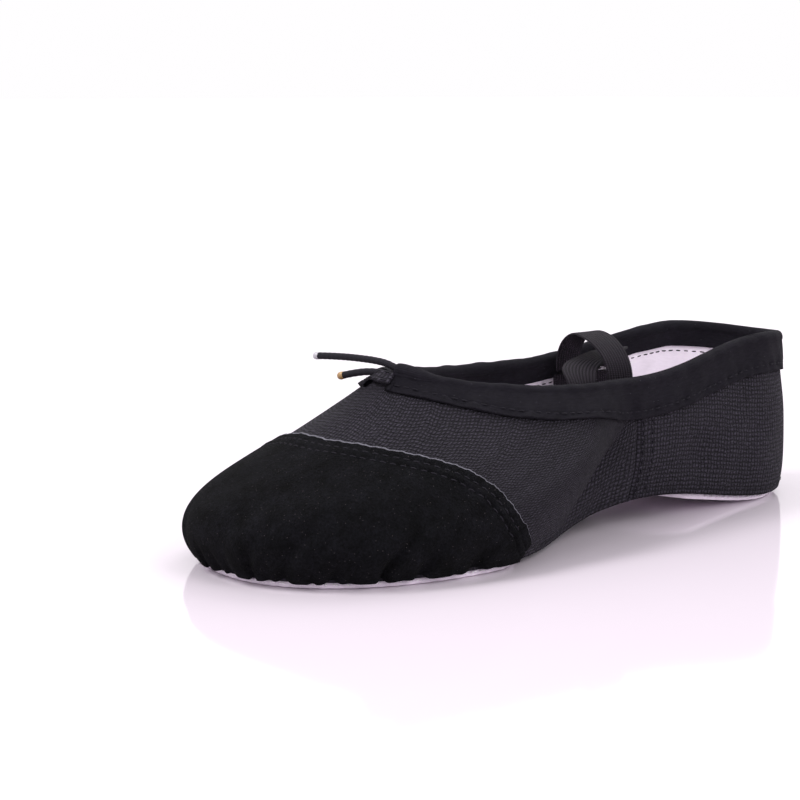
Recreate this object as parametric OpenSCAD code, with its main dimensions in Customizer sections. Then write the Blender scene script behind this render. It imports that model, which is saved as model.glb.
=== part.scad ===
// Canvas split-sole ballet slipper for the left foot, in millimetres.
// Toe towards -Y, heel towards +Y, outer side of the foot towards +X, standing on Z = 0.

/* [Overall] */
// Length from the toe to the back of the heel
slipper_l = 236; // [190:1:285]
// Width of the sole line across the ball of the foot
ball_w = 88; // [72:1:106]
// Width of the sole line at the waist
waist_w = 52; // [43:1:63]
// Width of the sole line at the heel
heel_w = 54; // [45:1:65]
// How far the toe swings towards the inner side
toe_swing = 4; // [0:0.5:6]

/* [Stations, from the toe] */
// Distance from the toe to the widest part of the sole line
ball_at = 68; // [60:1:80]
// Distance from the toe to the narrowest part
waist_at = 130; // [120:1:150]
// Distance from the toe to the throat
throat_at = 67; // [58:1:78]
// Distance from the toe to the widest part of the foot opening
mouth_at = 124; // [110:1:132]
// Distance from the toe to the side seams
seam_at = 143; // [136:1:160]
// Length of the round part of the heel
heel_round = 34; // [28:1:40]

/* [Topline] */
// Height of the topline at the throat
throat_z = 55; // [46:1:66]
// Height of the topline at the sides
side_z = 49; // [42:1:58]
// Height of the topline at the back of the heel
heel_z = 57.5; // [50:0.5:70]
// Dip of the topline at the very back of the heel
heel_dip = 2.5; // [0:0.5:5]
// Width of the foot opening at its widest part
mouth_w = 54; // [46:1:64]
// Width of the foot opening where the heel starts to round
heel_mouth_w = 45; // [38:1:52]

/* [Cloth and leather] */
// Thickness of the canvas
canvas_t = 0.8; // [0.6:0.1:1]
// Thickness of the cotton lining
lining_t = 0.4; // [0.3:0.1:0.6]
// Thickness of the suede toe cap
cap_t = 1; // [0.8:0.1:1.2]
// Thickness of the binding cloth
binding_t = 0.8; // [0.6:0.1:0.9]
// Depth of the binding on the outside
binding_h = 13.5; // [11:0.5:15]
// Depth of the binding on the inside
binding_in_h = 9; // [7:0.5:11]
// Air left between two layers
layer_gap = 0.3; // [0.25:0.05:0.4]

/* [Drawstring] */
// Diameter of the drawstring
cord_d = 2.2; // [1.8:0.1:2.4]
// Clearance of the drawstring in its casing
cord_gap = 0.25; // [0.2:0.05:0.4]
// Gap between the two ends of the casing at the throat
throat_gap = 7; // [5:0.5:9]

/* [Elastic straps] */
// Width of the elastic
strap_w = 11; // [9:0.5:12]
// Thickness of the elastic
strap_t = 0.9; // [0.7:0.1:1.1]
// Rise of the rear strap above its pivot
rear_strap_rise = 14; // [12:1:18]
// Rise of the front strap above its pivot
front_strap_rise = 7; // [5:0.5:9]
// Length of each sewn end inside the slipper
strap_tab_h = 12; // [9:0.5:14]

/* [Sole] */
// Thickness of the suede sole patches
sole_t = 2; // [1.2:0.1:2.6]
// Thickness of the foam pads
pad_t = 3; // [2:0.5:4]
// Thickness of the sock lining
sock_t = 0.5; // [0.4:0.1:0.8]
// Rise of the arch above the floor
arch_rise = 6.8; // [3:0.2:8]
// Length of the forefoot patch
fore_patch_l = 96; // [85:1:105]
// Length of the heel patch
heel_patch_l = 72; // [60:1:80]
// Length of the heel's foam pad, front to back
heel_pad_l = 56; // [45:1:62]

/* [Stitching] */
// Distance from one stitch to the next
stitch_pitch = 4; // [3:0.25:6]
// Length of one stitch
stitch_l = 2.6; // [1.6:0.2:2.8]
// Thickness of the sewing thread
thread_d = 0.5; // [0.4:0.05:0.6]

/* [Hidden] */

// Places around the slipper: 0 is the toe, 1 the back of the heel, minus the inner side
u_step = 0.02;
u_ball = 0.34;
u_seam = 0.6;
u_heel = 0.84;
// Half the gap where the vamp meets the quarters
seam_half = 0.0009;
u_cap = [-0.32, 0.38];
// Roundness of the outlines: 2 is an ellipse, more is squarer
toe_round = 2.2;
heel_squareness = 2;
throat_round = 1.85;
// Where the upper starts, in from the toe and from the back of the heel
toe_in = 5.7;
heel_in = 2;
edge_z = sole_t + 0.4;
// Where the arch starts, is highest and comes down to the floor again
arch_from = 92;
arch_top = 150;
arch_to = 215;
// Length and slope of the surface as it leaves the sole line: toe, ball, seam, heel
rise_len = [27.5, 17.5, 12.5, 19];
rise_deg = [50, 59, 75, 79];
// Length and slope of the surface as it comes to the topline
fall_len = [47, 23.5, 15, 19];
fall_deg = [39, 53, 70, 91];
// The toe cap's edge: its height at the toe, where it runs out and how square it is, inner then outer side
cap_v = 0.745;
cap_end = [0.34, 0.41];
cap_bow = [1.8, 2.4];
cap_rows = 6;
canvas_rows = 10;
quarter_rows = 7;

canvas_in = -canvas_t;
lining_out = canvas_in - 0.15;
lining_in = lining_out - lining_t;
cap_out = 0.15 + cap_t;
binding_out = layer_gap + binding_t;
binding_back = lining_in - layer_gap;
binding_in = binding_back - binding_t;
// The casing is a round tunnel over the canvas's top edge
tunnel_r = cord_d / 2 + cord_gap;
bead_r = tunnel_r + binding_t;
bead_o = (binding_out + binding_in) / 2;
bead_d = bead_r;
canvas_top_d = bead_d + tunnel_r + 0.7;
// The casing opens wider at its outer mouth, for the two free ends
flare = 1.6;
flare_l = 16;
ends_apart = 2.75;
root_in = 3;

fore_base = sole_t + 0.2;
pad_z = fore_base + canvas_t + 0.2;
sock_z = pad_z + pad_t + 0.2;
bottom_inset = 1.6;
pad_inset = 5;
sock_inset = 3;
patch_inset = 2;
heel_patch_inset = 3;

pivot_z = side_z - 4;
strap_clear = 2.2;
// The sewn ends lie flat behind the loops' legs, this far nearer the wall
tab_behind = strap_t + layer_gap;
// The sewn ends start below the pivots, clear of the loops as they swing
tab_below = 2.3;
// Where the straps are sewn, from the middle of the slipper: outer side, inner side
rear_strap_y = [24, 43];
front_strap_y = [6.5, 61];

// Route of the drawstring's long free end, from the casing's mouth
long_route = [[-4, -0.3, 1.3], [-8, -0.7, 2.2], [-13, -1.1, 2.5], [-18, -1.5, 2.5],
    [-23, -2, 2.4], [-28, -2.6, 2.2], [-33, -3.3, 1.9], [-37, -4, 1.6]];
// Route of its short free end
short_route = [[-3, -1, 1], [-7, -2.4, 1.6], [-11, -4, 1.5], [-15, -5.4, 0.8], [-19, -6.6, -0.2]];

function mix(a, b, t) = a + (b - a) * t;
function ease(a, b, t) = mix(a, b, (1 - cos(180 * min(1, max(0, t)))) / 2);
function unit(p) = p / max(1e-9, norm(p));
function flip(p) = [-p[0], p[1]];

// Value at place a, eased between the toe, the ball, the seam and the heel
function around(a, k) =
    a <= u_ball ? ease(k[0], k[1], a / u_ball)
  : a <= u_seam ? ease(k[1], k[2], (a - u_ball) / (u_seam - u_ball))
  : ease(k[2], k[3], (a - u_seam) / (1 - u_seam));

// Half width at distance s, from the widest part to the narrowest to the heel
function half_width(s, s1, w1, s2, w2, s3, w3) =
    s < s2 ? ease(w1, w2, (s - s1) / (s2 - s1)) : ease(w2, w3, (s - s2) / (s3 - s2));

// A closed outline: two superellipse ends joined by eased sides, as [half width, distance]
function outline(a, front, s1, w1, s2, w2, s3, w3, back, pf, pb) =
    a < 0 ? flip(outline(-a, front, s1, w1, s2, w2, s3, w3, back, pf, pb))
  : a > 1 ? flip(outline(2 - a, front, s1, w1, s2, w2, s3, w3, back, pf, pb))
  : a <= u_ball ? let (t = 90 * a / u_ball)
        [w1 * pow(sin(t), 2 / pf), s1 - (s1 - front) * pow(cos(t), 2 / pf)]
  : a <= u_heel ? let (s = a <= u_seam ? mix(s1, seam_at, (a - u_ball) / (u_seam - u_ball))
                                       : mix(seam_at, s3, (a - u_seam) / (u_heel - u_seam)))
        [half_width(s, s1, w1, s2, w2, s3, w3), s]
  : let (t = 90 * (a - u_heel) / (1 - u_heel))
        [w3 * pow(cos(t), 2 / pb), s3 + (back - s3) * pow(sin(t), 2 / pb)];

function sole_line(a) = outline(a, toe_in, ball_at, ball_w / 2, waist_at, waist_w / 2,
    slipper_l - heel_round, heel_w / 2, slipper_l - heel_in, toe_round, heel_squareness);
function topline(a) = outline(a, throat_at, mouth_at, mouth_w / 2, seam_at + 10, mouth_w / 2 - 0.5,
    slipper_l - heel_round + 4, heel_mouth_w / 2, slipper_l - 2, throat_round, heel_squareness);

function arch(s) = arch_rise * (ease(0, 1, (s - arch_from) / (arch_top - arch_from))
    - ease(0, 1, (s - arch_top) / (arch_to - arch_top)));
// Height of the topline: level along the side, up to the heel, then a small dip at the back
function topline_z(m) = m <= u_seam ? around(m, [throat_z, side_z, side_z, heel_z])
    : ease(side_z, heel_z, (m - u_seam) / 0.27) - ease(0, heel_dip, (m - u_heel) / 0.16);
// Sideways shift at y: it centres the slipper's box on X = 0
x_shift = 0.21 * toe_swing;
function swing(y) = x_shift - toe_swing * pow(max(0, -y) / (slipper_l / 2), 2);

// A point from its side, half width, distance from the toe and height
function place(side, ws, z) =
    let (y = ws[1] - slipper_l / 2) [side * ws[0] + swing(y), y, z];
// Outward direction of an outline, flat on the floor
function outward(p, q) = let (d = q - p) unit([d[1], -d[0]]);

// One line up the upper, as the four points of a cubic curve
function rib(u) =
    let (
        side = u < 0 ? -1 : 1,
        a = min(2, abs(u)),
        e = 0.004,
        m = a > 1 ? 2 - a : a,
        s = sole_line(a),
        t = topline(a),
        ns = outward(sole_line(a - e), sole_line(a + e)),
        nt = outward(topline(a - e), topline(a + e)),
        r = around(m, rise_len),
        rd = around(m, rise_deg),
        f = around(m, fall_len),
        fd = around(m, fall_deg),
        sz = edge_z + arch(s[1]),
        tz = topline_z(m)
    ) [
        place(side, s, sz),
        place(side, s + r * cos(rd) * ns, sz + r * sin(rd)),
        place(side, t + f * cos(fd) * nt, tz - f * sin(fd)),
        place(side, t, tz)
    ];
function along(r, v) = let (w = 1 - v)
    w * w * w * r[0] + 3 * w * w * v * r[1] + 3 * w * v * v * r[2] + v * v * v * r[3];
function heading(r, v) = let (w = 1 - v)
    3 * w * w * (r[1] - r[0]) + 6 * w * v * (r[2] - r[1]) + 3 * v * v * (r[3] - r[2]);

// A rib with its two close neighbours, which give the surface's slope round the slipper
function strip(u) = let (e = 0.004) [rib(u), rib(u - e), rib(u + e)];
function face_normal(c, v) = unit(cross(along(c[2], v) - along(c[1], v), heading(c[0], v)));
// A point of the upper at v, held off the canvas's outer face by o
function lift(c, v, o) = along(c[0], v) + o * face_normal(c, v);
// v at a distance d down from the topline
function v_below(c, d) =
    let (v1 = 1 - d / norm(heading(c[0], 1)), vm = (1 + v1) / 2) 1 - d / norm(heading(c[0], vm));
// A point d below the topline, or above it where d is minus
function from_top(c, d, o) = d >= 0 ? lift(c, v_below(c, d), o)
    : lift(c, 1, o) - d * unit(heading(c[0], 1));

function cap_edge(u) = let (k = u < 0 ? 0 : 1) cap_v * (1 - pow(min(1, abs(u) / cap_end[k]), cap_bow[k]));
function steps(from, to, n) = [for (i = [0:n]) mix(from, to, i / n)];
function places(from, to) = steps(from, to, round(abs(to - from) / u_step));
// Rows of the vamp: the lower ones end at the toe cap's edge
function vamp_rows(c, u) =
    let (split = max(0.12, cap_edge(u)), top = v_below(c, canvas_top_d))
    concat(steps(0, split, cap_rows),
        [for (i = [1:canvas_rows - cap_rows]) mix(split, top, i / (canvas_rows - cap_rows))]);

// A closed solid between two like grids of points; n points in each of the lists
module slab(outer, inner) {
    m = len(outer);
    n = len(outer[0]);
    at = function (k, i, j) (k * m + i) * n + j;
    quad = function (a, b, c, d) [[a, b, c], [a, c, d]];
    faces = concat(
        [for (i = [0:m - 2], j = [0:n - 2])
            each quad(at(0, i, j), at(0, i, j + 1), at(0, i + 1, j + 1), at(0, i + 1, j))],
        [for (i = [0:m - 2], j = [0:n - 2])
            each quad(at(1, i, j), at(1, i + 1, j), at(1, i + 1, j + 1), at(1, i, j + 1))],
        [for (i = [0:m - 2]) each quad(at(0, i, 0), at(0, i + 1, 0), at(1, i + 1, 0), at(1, i, 0))],
        [for (i = [0:m - 2])
            each quad(at(0, i, n - 1), at(1, i, n - 1), at(1, i + 1, n - 1), at(0, i + 1, n - 1))],
        [for (j = [0:n - 2]) each quad(at(0, 0, j), at(1, 0, j), at(1, 0, j + 1), at(0, 0, j + 1))],
        [for (j = [0:n - 2])
            each quad(at(0, m - 1, j), at(0, m - 1, j + 1), at(1, m - 1, j + 1), at(1, m - 1, j))]
    );
    polyhedron(points = [for (g = [outer, inner]) for (row = g) each row], faces = faces);
}

// A solid swept through a list of closed rings of points. Its ends are flat, or, where folded, strips
// between the ring's outer half and its inner half, which face each other point by point
module swept(rings, folded = false) {
    m = len(rings);
    n = len(rings[0]);
    sides = [for (i = [0:m - 2], j = [0:n - 1])
        let (a = i * n + j, b = i * n + (j + 1) % n)
        each [[a, b, b + n], [a, b + n, a + n]]];
    cap = !folded ? [[for (j = [0:n - 1]) j]]
        : [for (j = [1:n / 2 - 1]) each [[j, j + 1, n - j], [j, n - j, (n + 1 - j) % n]]];
    polyhedron(points = [for (r = rings) each r],
        faces = concat(sides, [for (f = cap) [for (i = [len(f) - 1:-1:0]) f[i]]],
            [for (f = cap) [for (i = f) (m - 1) * n + i]]));
}

// Panel of the upper between two places, from row list to row list
module panel(from, to, top_d, rows, o_out, o_in) {
    strips = [for (u = places(from, to)) strip(u)];
    vs = [for (c = strips) steps(0, v_below(c, top_d), rows)];
    slab([for (i = [0:len(strips) - 1]) [for (v = vs[i]) lift(strips[i], v, o_out)]],
        [for (i = [0:len(strips) - 1]) [for (v = vs[i]) lift(strips[i], v, o_in)]]);
}

module vamp_panel(from, to, rows, o_out, o_in) {
    us = places(from, to);
    strips = [for (u = us) strip(u)];
    vs = [for (i = [0:len(us) - 1]) let (v = vamp_rows(strips[i], us[i])) [for (j = [0:rows]) v[j]]];
    slab([for (i = [0:len(us) - 1]) [for (v = vs[i]) lift(strips[i], v, o_out)]],
        [for (i = [0:len(us) - 1]) [for (v = vs[i]) lift(strips[i], v, o_in)]]);
}

// One stitch: a short flat bar of thread from p to q, standing off along n
module stitch(p, q, n) {
    mid = (p + q) / 2;
    t = unit(q - p) * stitch_l / 2;
    b = unit(cross(t, n)) * thread_d / 2;
    h = n * thread_d;
    polyhedron(
        points = [for (k = [mid, mid + h * 0.8]) each [k - t - b, k + t - b, k + t + b, k - t + b]],
        faces = [[0, 1, 2, 3], [7, 6, 5, 4], [0, 4, 5, 1], [1, 5, 6, 2], [2, 6, 7, 3], [3, 7, 4, 0]]);
}

// A row of stitches along a list of [point, outward normal], one to each pitch
module stitch_row(line) {
    gaps = [for (i = [1:len(line) - 1]) norm(line[i][0] - line[i - 1][0])];
    runs = [for (i = 0, sum = 0; i < len(line); sum = sum + (i < len(gaps) ? gaps[i] : 0), i = i + 1) sum];
    count = floor(runs[len(runs) - 1] / stitch_pitch);
    on_line = function (d, k) let (i = max([for (j = [0:len(runs) - 2]) if (runs[j] <= d) j]))
        mix(line[i][k], line[i + 1][k], (d - runs[i]) / (runs[i + 1] - runs[i]));
    for (k = [0:count - 1]) {
        d = (k + 0.5) * stitch_pitch;
        stitch(on_line(d - stitch_l / 2, 0), on_line(d + stitch_l / 2, 0), unit(on_line(d, 1)));
    }
}
function row_at(us, o, v_of) = [for (u = us) let (c = strip(u), v = v_of(c, u))
    [lift(c, v, o + thread_d / 2), face_normal(c, v)]];

// Flat outline of the sole line set in by some distance, between two places
function inset_outline(from, to, inset) = [for (a = steps(from, to, 36))
    let (p = sole_line(a), n = outward(sole_line(a - 0.004), sole_line(a + 0.004))) p - inset * n];

// Both sides of an outline, as points on the floor
function both_sides(half) = concat([for (p = half) let (q = place(1, p, 0)) [q[0], q[1]]],
    [for (i = [len(half) - 1:-1:0]) let (q = place(-1, half[i], 0)) [q[0], q[1]]]);

// Forefoot outline that ends in a half ellipse at distance length
module forefoot_shape(length, inset) {
    full = inset_outline(0, u_seam, inset);
    kept = [for (p = full) if (p[1] < length - 24) p];
    last = kept[len(kept) - 1];
    tail = [for (t = [8:8:88]) [last[0] * cos(t), last[1] + (length - last[1]) * sin(t)]];
    polygon(both_sides(concat(kept, tail, [[0, length]])));
}

// A piece under the heel that ends in a half ellipse at the front and follows the arch
module heel_piece(length, inset, thickness, low) {
    full = inset_outline(u_seam - 0.1, 0.98, inset);
    start = slipper_l - heel_in - length;
    kept = [for (p = full) if (p[1] > start + 14) p];
    first = kept[0];
    tail = [for (t = [82:-8:10]) [first[0] * cos(t), first[1] - (first[1] - start) * sin(t)]];
    level = function (z) [for (p = concat(tail, kept)) [for (k = [1, 0.5, 0, -0.5, -1])
        place(k, p, z + arch(p[1]))]];
    slab(level(low + thickness), level(low));
}

// A thin level piece under the foot: z is a function of the distance from the toe
module footbed(inset, thickness, z_of) {
    rows = [for (a = steps(0.02, 0.98, 48))
        let (p = sole_line(a), n = outward(sole_line(a - 0.004), sole_line(a + 0.004)))
        p - inset * n];
    across = [-1, -0.5, 0, 0.5, 1];
    level = function (dz) [for (p = rows) [for (k = [len(across) - 1:-1:0])
        place(across[k], p, z_of(p[1]) + dz)]];
    slab(level(thickness), level(0));
}

// Place in the casing some way in from its outer mouth, where the free ends leave it
function casing_place(inwards) =
    u_ball * asin(pow((throat_gap / 2 + 0.5 + inwards) / (mouth_w / 2), throat_round / 2)) / 90;
mouth_u = casing_place(0);
function bead_flare(c, u) =
    u < 0 ? 0 : flare * (1 - ease(0, 1, norm(along(c[0], 1) - along(rib(mouth_u), 1)) / flare_l));

// The binding is narrower on the outside at the throat
function binding_depth(u) = binding_h * ease(0.64, 1, abs(u) / 0.3);

// Section of the binding: outer leg, round casing, inner leg, as [distance down, offset]
function binding_section(extra, depth) =
    let (
        r = bead_r + extra,
        t = tunnel_r + extra,
        c = bead_d - extra * 0.6,
        low = c + r * 0.9
    ) concat(
        [[depth, layer_gap], [depth, binding_out], [mix(low, depth, 0.5), binding_out]],
        [for (k = [-20:44:200]) [c - r * sin(k), bead_o + r * cos(k)]],
        [[mix(low, binding_in_h, 0.5), binding_in], [binding_in_h, binding_in],
         [binding_in_h, binding_back], [mix(low, binding_in_h, 0.5), binding_back]],
        [for (k = [200:-44:-20]) [c - t * sin(k), bead_o + t * cos(k)]],
        [[mix(low, depth, 0.5), layer_gap]]
    );

binding_places = concat([mouth_u], places(0.04, 2 - 0.04), [2 - mouth_u]);
// Place round the whole loop, 0 to 2, as a signed place
function signed(u) = u <= 1 ? u : u - 2;

module topline_binding() {
    color("#202024") swept([for (u = binding_places)
        let (c = u <= 1 ? strip(u) : strip(u - 2), extra = bead_flare(c, signed(u)))
        [for (p = binding_section(extra, binding_depth(signed(u)))) from_top(c, p[0], p[1])]], folded = true);
}

// Centre of the casing at a place
function casing_middle(u) = let (c = strip(signed(u))) from_top(c, bead_d, bead_o);

module drawstring() {
    us = steps(mouth_u + 0.1, 2 - mouth_u - 0.004, 78);
    color("#2c2c31") swept([for (u = us)
        let (
            p = casing_middle(u),
            t = unit(casing_middle(min(1.999, u + 0.004)) - casing_middle(u - 0.004)),
            b = unit(cross(t, [0, 0, 1])),
            n = cross(b, t)
        ) [for (k = [0:45:315]) p + cord_d / 2 * (cos(k) * b + sin(k) * n)]]);
}

// A free end starts inside the casing, leaves its mouth and goes on along the route.
// level is -1 for the long end, which lies nearer to the opening, and 1 for the short one
function casing_point(level, inwards) =
    from_top(strip(casing_place(inwards)), bead_d - flare * 0.6 + level * ends_apart / 2, bead_o);
function free_route(level, route) = let (exit = casing_point(level, 0))
    concat([casing_point(level, root_in), exit], [for (p = route) exit + p]);
long_path = free_route(-1, long_route);
short_path = free_route(1, short_route);

// Points on a smooth curve through the route, by Catmull-Rom
function smooth(route, per) = let (n = len(route)) concat(
    [for (i = [0:n - 2], k = [0:per - 1])
        let (
            a = route[max(0, i - 1)],
            b = route[i],
            c = route[i + 1],
            d = route[min(n - 1, i + 2)],
            t = k / per
        ) 0.5 * (2 * b + (c - a) * t + (2 * a - 5 * b + 4 * c - d) * t * t
            + (3 * b - a - 3 * c + d) * t * t * t)],
    [route[n - 1]]);

module cord_tube(route, radius) {
    pts = smooth(route, 3);
    n = len(pts);
    swept([for (i = [0:n - 1])
        let (
            t = unit(pts[min(n - 1, i + 1)] - pts[max(0, i - 1)]),
            b = unit(cross(t, [0, 1, 0])),
            m = cross(b, t)
        ) [for (k = [0:45:315]) pts[i] + radius * (cos(k) * b + sin(k) * m)]]);
}

// A heat-sealed end: a short round cap past the last point of a route
module sealed_end(route) {
    last = route[len(route) - 1];
    d = unit(last - route[len(route) - 2]);
    b = unit(cross(d, [0, 1, 0]));
    m = cross(b, d);
    profile = [[0.05, 0.95], [0.7, 1.05], [1.6, 0.95], [2.3, 0.6], [2.6, 0.2]];
    swept([for (p = profile) [for (k = [0:45:315])
        last + d * p[0] + p[1] * cord_d / 2 * (cos(k) * b + sin(k) * m)]]);
}

// Inner face of the slipper's side at distance y from the middle and height z
function wall_x(side, y) =
    let (s = y + slipper_l / 2, us = steps(0.3, 0.95, 130),
        best = [for (u = us) if (topline(u)[1] >= s) u][0])
    topline(best)[0] + binding_in - strap_clear;

// Centre line of a strap: a flat arch from pivot to pivot that turns across the slipper
function strap_points(ys, rise) = [for (k = [0:6:180])
    let (
        f = 0.5 - 0.5 * pow(abs(cos(k)), 0.8) * sign(cos(k)),
        x = mix(wall_x(1, ys[0]), -wall_x(-1, ys[1]), f),
        y = mix(ys[0], ys[1], mix(f, ease(0, 1, f), 0.6))
    ) [x + x_shift, y, pivot_z + rise * pow(sin(k), 0.75)]];

module strap(ys, rise) {
    pts = strap_points(ys, rise);
    n = len(pts);
    swept([for (i = [0:n - 1])
        let (
            t = unit(pts[min(n - 1, i + 1)] - pts[max(0, i - 1)]),
            side = unit([0, 1, 0] - t[1] * t),
            up = cross(side, t)
        ) [for (q = [[-1, -1], [1, -1], [1, 1], [-1, 1]])
            pts[i] + q[0] * strap_w / 2 * side + q[1] * strap_t / 2 * up]]);
}

// The sewn ends of a strap, flat against the inside of both sides
module strap_ends(ys) {
    for (k = [0, 1]) {
        side = k == 0 ? 1 : -1;
        x = wall_x(side, ys[k]) + tab_behind;
        translate([side * x + x_shift, ys[k], pivot_z - tab_below - strap_tab_h / 2])
            cube([strap_t, strap_w, strap_tab_h], center = true);
    }
}

module bartacks(ys) {
    for (k = [0, 1], row = [0, 1], j = [-1:1]) {
        side = k == 0 ? 1 : -1;
        x = side * (wall_x(side, ys[k]) + tab_behind - strap_t / 2 - 0.15) + x_shift;
        y = ys[k] + j * (stitch_l + 0.5);
        z = pivot_z - tab_below - strap_tab_h + 1.5 + row * 3;
        stitch([x, y - 1, z], [x, y + 1, z], [-side, 0, 0]);
    }
}

module vamp_canvas() {
    color("#2f2c33") vamp_panel(seam_half - u_seam, u_seam - seam_half, canvas_rows, 0, canvas_in);
}
module vamp_lining() {
    color("#efe4ee") vamp_panel(seam_half - u_seam, u_seam - seam_half, canvas_rows, lining_out, lining_in);
}
module toe_cap() {
    color("#19191c") vamp_panel(u_cap[0], u_cap[1], cap_rows, cap_out, cap_out - cap_t);
}
module outer_quarter() {
    color("#2f2c33") panel(u_seam + seam_half, 1, canvas_top_d, quarter_rows, 0, canvas_in);
}
module inner_quarter() {
    color("#2f2c33") panel(-0.999, -u_seam - seam_half, canvas_top_d, quarter_rows, 0, canvas_in);
}
module outer_quarter_lining() {
    color("#efe4ee") panel(u_seam + seam_half, 1, canvas_top_d, quarter_rows, lining_out, lining_in);
}
module inner_quarter_lining() {
    color("#efe4ee") panel(-0.999, -u_seam - seam_half, canvas_top_d, quarter_rows, lining_out, lining_in);
}

module bottom_canvas() {
    color("#3a363e") footbed(bottom_inset, canvas_t, function (s) fore_base + arch(s));
}
module sock_lining() {
    color("#f4e9f2") footbed(sock_inset, sock_t, function (s) sock_z + arch(s));
}
module forefoot_sole() {
    color("#e6d8e8") linear_extrude(sole_t) forefoot_shape(fore_patch_l, patch_inset);
}
module heel_sole() {
    color("#e6d8e8") heel_piece(heel_patch_l, heel_patch_inset, sole_t, 0);
}
module forefoot_pad() {
    color("#cfc8c0") translate([0, 0, pad_z])
        linear_extrude(pad_t) forefoot_shape(fore_patch_l - 8, pad_inset);
}
module heel_pad() {
    color("#cfc8c0") heel_piece(heel_pad_l, pad_inset, pad_t, pad_z);
}

module toe_cap_stitching() {
    us = places(-0.26, 0.34);
    color("#0c0c0e") for (back = [3, 6])
        stitch_row(row_at(us, cap_out, function (c, u)
            max(0.02, cap_edge(u) - back / norm(heading(c[0], cap_edge(u))))));
}
module binding_stitching() {
    color("#0c0c0e") for (side = [-1, 1])
        stitch_row(row_at([for (u = places(0.04, 0.98)) side * u], binding_out,
            function (c, u) v_below(c, binding_depth(u) - 2.4)));
}
module side_seam_stitching() {
    color("#0c0c0e") for (side = [-1, 1], off = [0.012, 0.03])
        stitch_row([for (v = steps(0.06, 0.66, 12)) let (c = strip(side * (u_seam + off)))
            [lift(c, v, thread_d / 2), face_normal(c, v)]]);
}
module back_seam_stitching() {
    color("#0c0c0e") for (side = [-1, 1])
        stitch_row([for (v = steps(0.06, 0.64, 12)) let (c = strip(side * 0.975))
            [lift(c, v, thread_d / 2), face_normal(c, v)]]);
}
// Seam that joins the upper to the bottom canvas, just above the sole line
module feather_stitching() {
    color("#0c0c0e") for (side = [-1, 1])
        stitch_row([for (u = places(0.42, 0.96)) let (c = strip(side * u), v = 0.045)
            [lift(c, v, thread_d / 2), face_normal(c, v)]]);
}
module forefoot_sole_stitching() {
    half = [for (p = inset_outline(0.02, 0.35, patch_inset - 0.7)) p];
    color("#0c0c0e") for (side = [-1, 1])
        stitch_row([for (p = half) [place(side, p, sole_t * 0.55), [0, 0, 1]]]);
}
module heel_sole_stitching() {
    half = [for (p = inset_outline(0.75, 0.98, heel_patch_inset - 0.7)) p];
    color("#0c0c0e") for (side = [-1, 1])
        stitch_row([for (p = half) [place(side, p, sole_t * 0.55 + arch(p[1])), [0, 0, 1]]]);
}
module throat_bartack() {
    c = strip(0);
    side = strip(0.006);
    along_x = unit(along(side[0], 0.95) - along(c[0], 0.95));
    color("#0c0c0e") for (k = [-1, 0, 1]) {
        p = from_top(c, binding_depth(0) - 1 + k * 0.8, thread_d / 2);
        stitch(p - along_x, p + along_x, face_normal(c, 0.95));
    }
}

// A small square of canvas that covers the join of the binding's ends at the throat
module throat_tab() {
    across = [-0.03, -0.015, 0, 0.015, 0.03];
    top = binding_depth(0) + 0.3;
    grid = function (o) [for (u = across) let (c = strip(u)) [for (d = [5:-1:0]) from_top(c, top + d, o)]];
    color("#2f2c33") slab(grid(0.15 + canvas_t), grid(0.15));
}

module drawstring_long_end() {
    color("#2c2c31") cord_tube(long_path, cord_d / 2);
}
module long_end_tip() {
    color("#b9b4ba") sealed_end(long_path);
}
module drawstring_short_end() {
    color("#2c2c31") cord_tube(short_path, cord_d / 2);
}
module short_end_tip() {
    color("#b08a55") sealed_end(short_path);
}
module front_strap() {
    color("#2b282e") strap(front_strap_y, front_strap_rise);
}
module rear_strap() {
    color("#2b282e") strap(rear_strap_y, rear_strap_rise);
}
module front_strap_ends() {
    color("#2b282e") strap_ends(front_strap_y);
}
module rear_strap_ends() {
    color("#2b282e") strap_ends(rear_strap_y);
}
module strap_stitching() {
    color("#0c0c0e") {
        bartacks(front_strap_y);
        bartacks(rear_strap_y);
    }
}

vamp_canvas();
toe_cap();
vamp_lining();
forefoot_sole();
forefoot_pad();
toe_cap_stitching();
forefoot_sole_stitching();
throat_bartack();
throat_tab();
outer_quarter();
inner_quarter();
outer_quarter_lining();
inner_quarter_lining();
topline_binding();
binding_stitching();
drawstring();
drawstring_long_end();
long_end_tip();
drawstring_short_end();
short_end_tip();
bottom_canvas();
sock_lining();
heel_sole();
heel_pad();
heel_sole_stitching();
side_seam_stitching();
back_seam_stitching();
feather_stitching();
front_strap();
rear_strap();
front_strap_ends();
rear_strap_ends();
strap_stitching();
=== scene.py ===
import math

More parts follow.
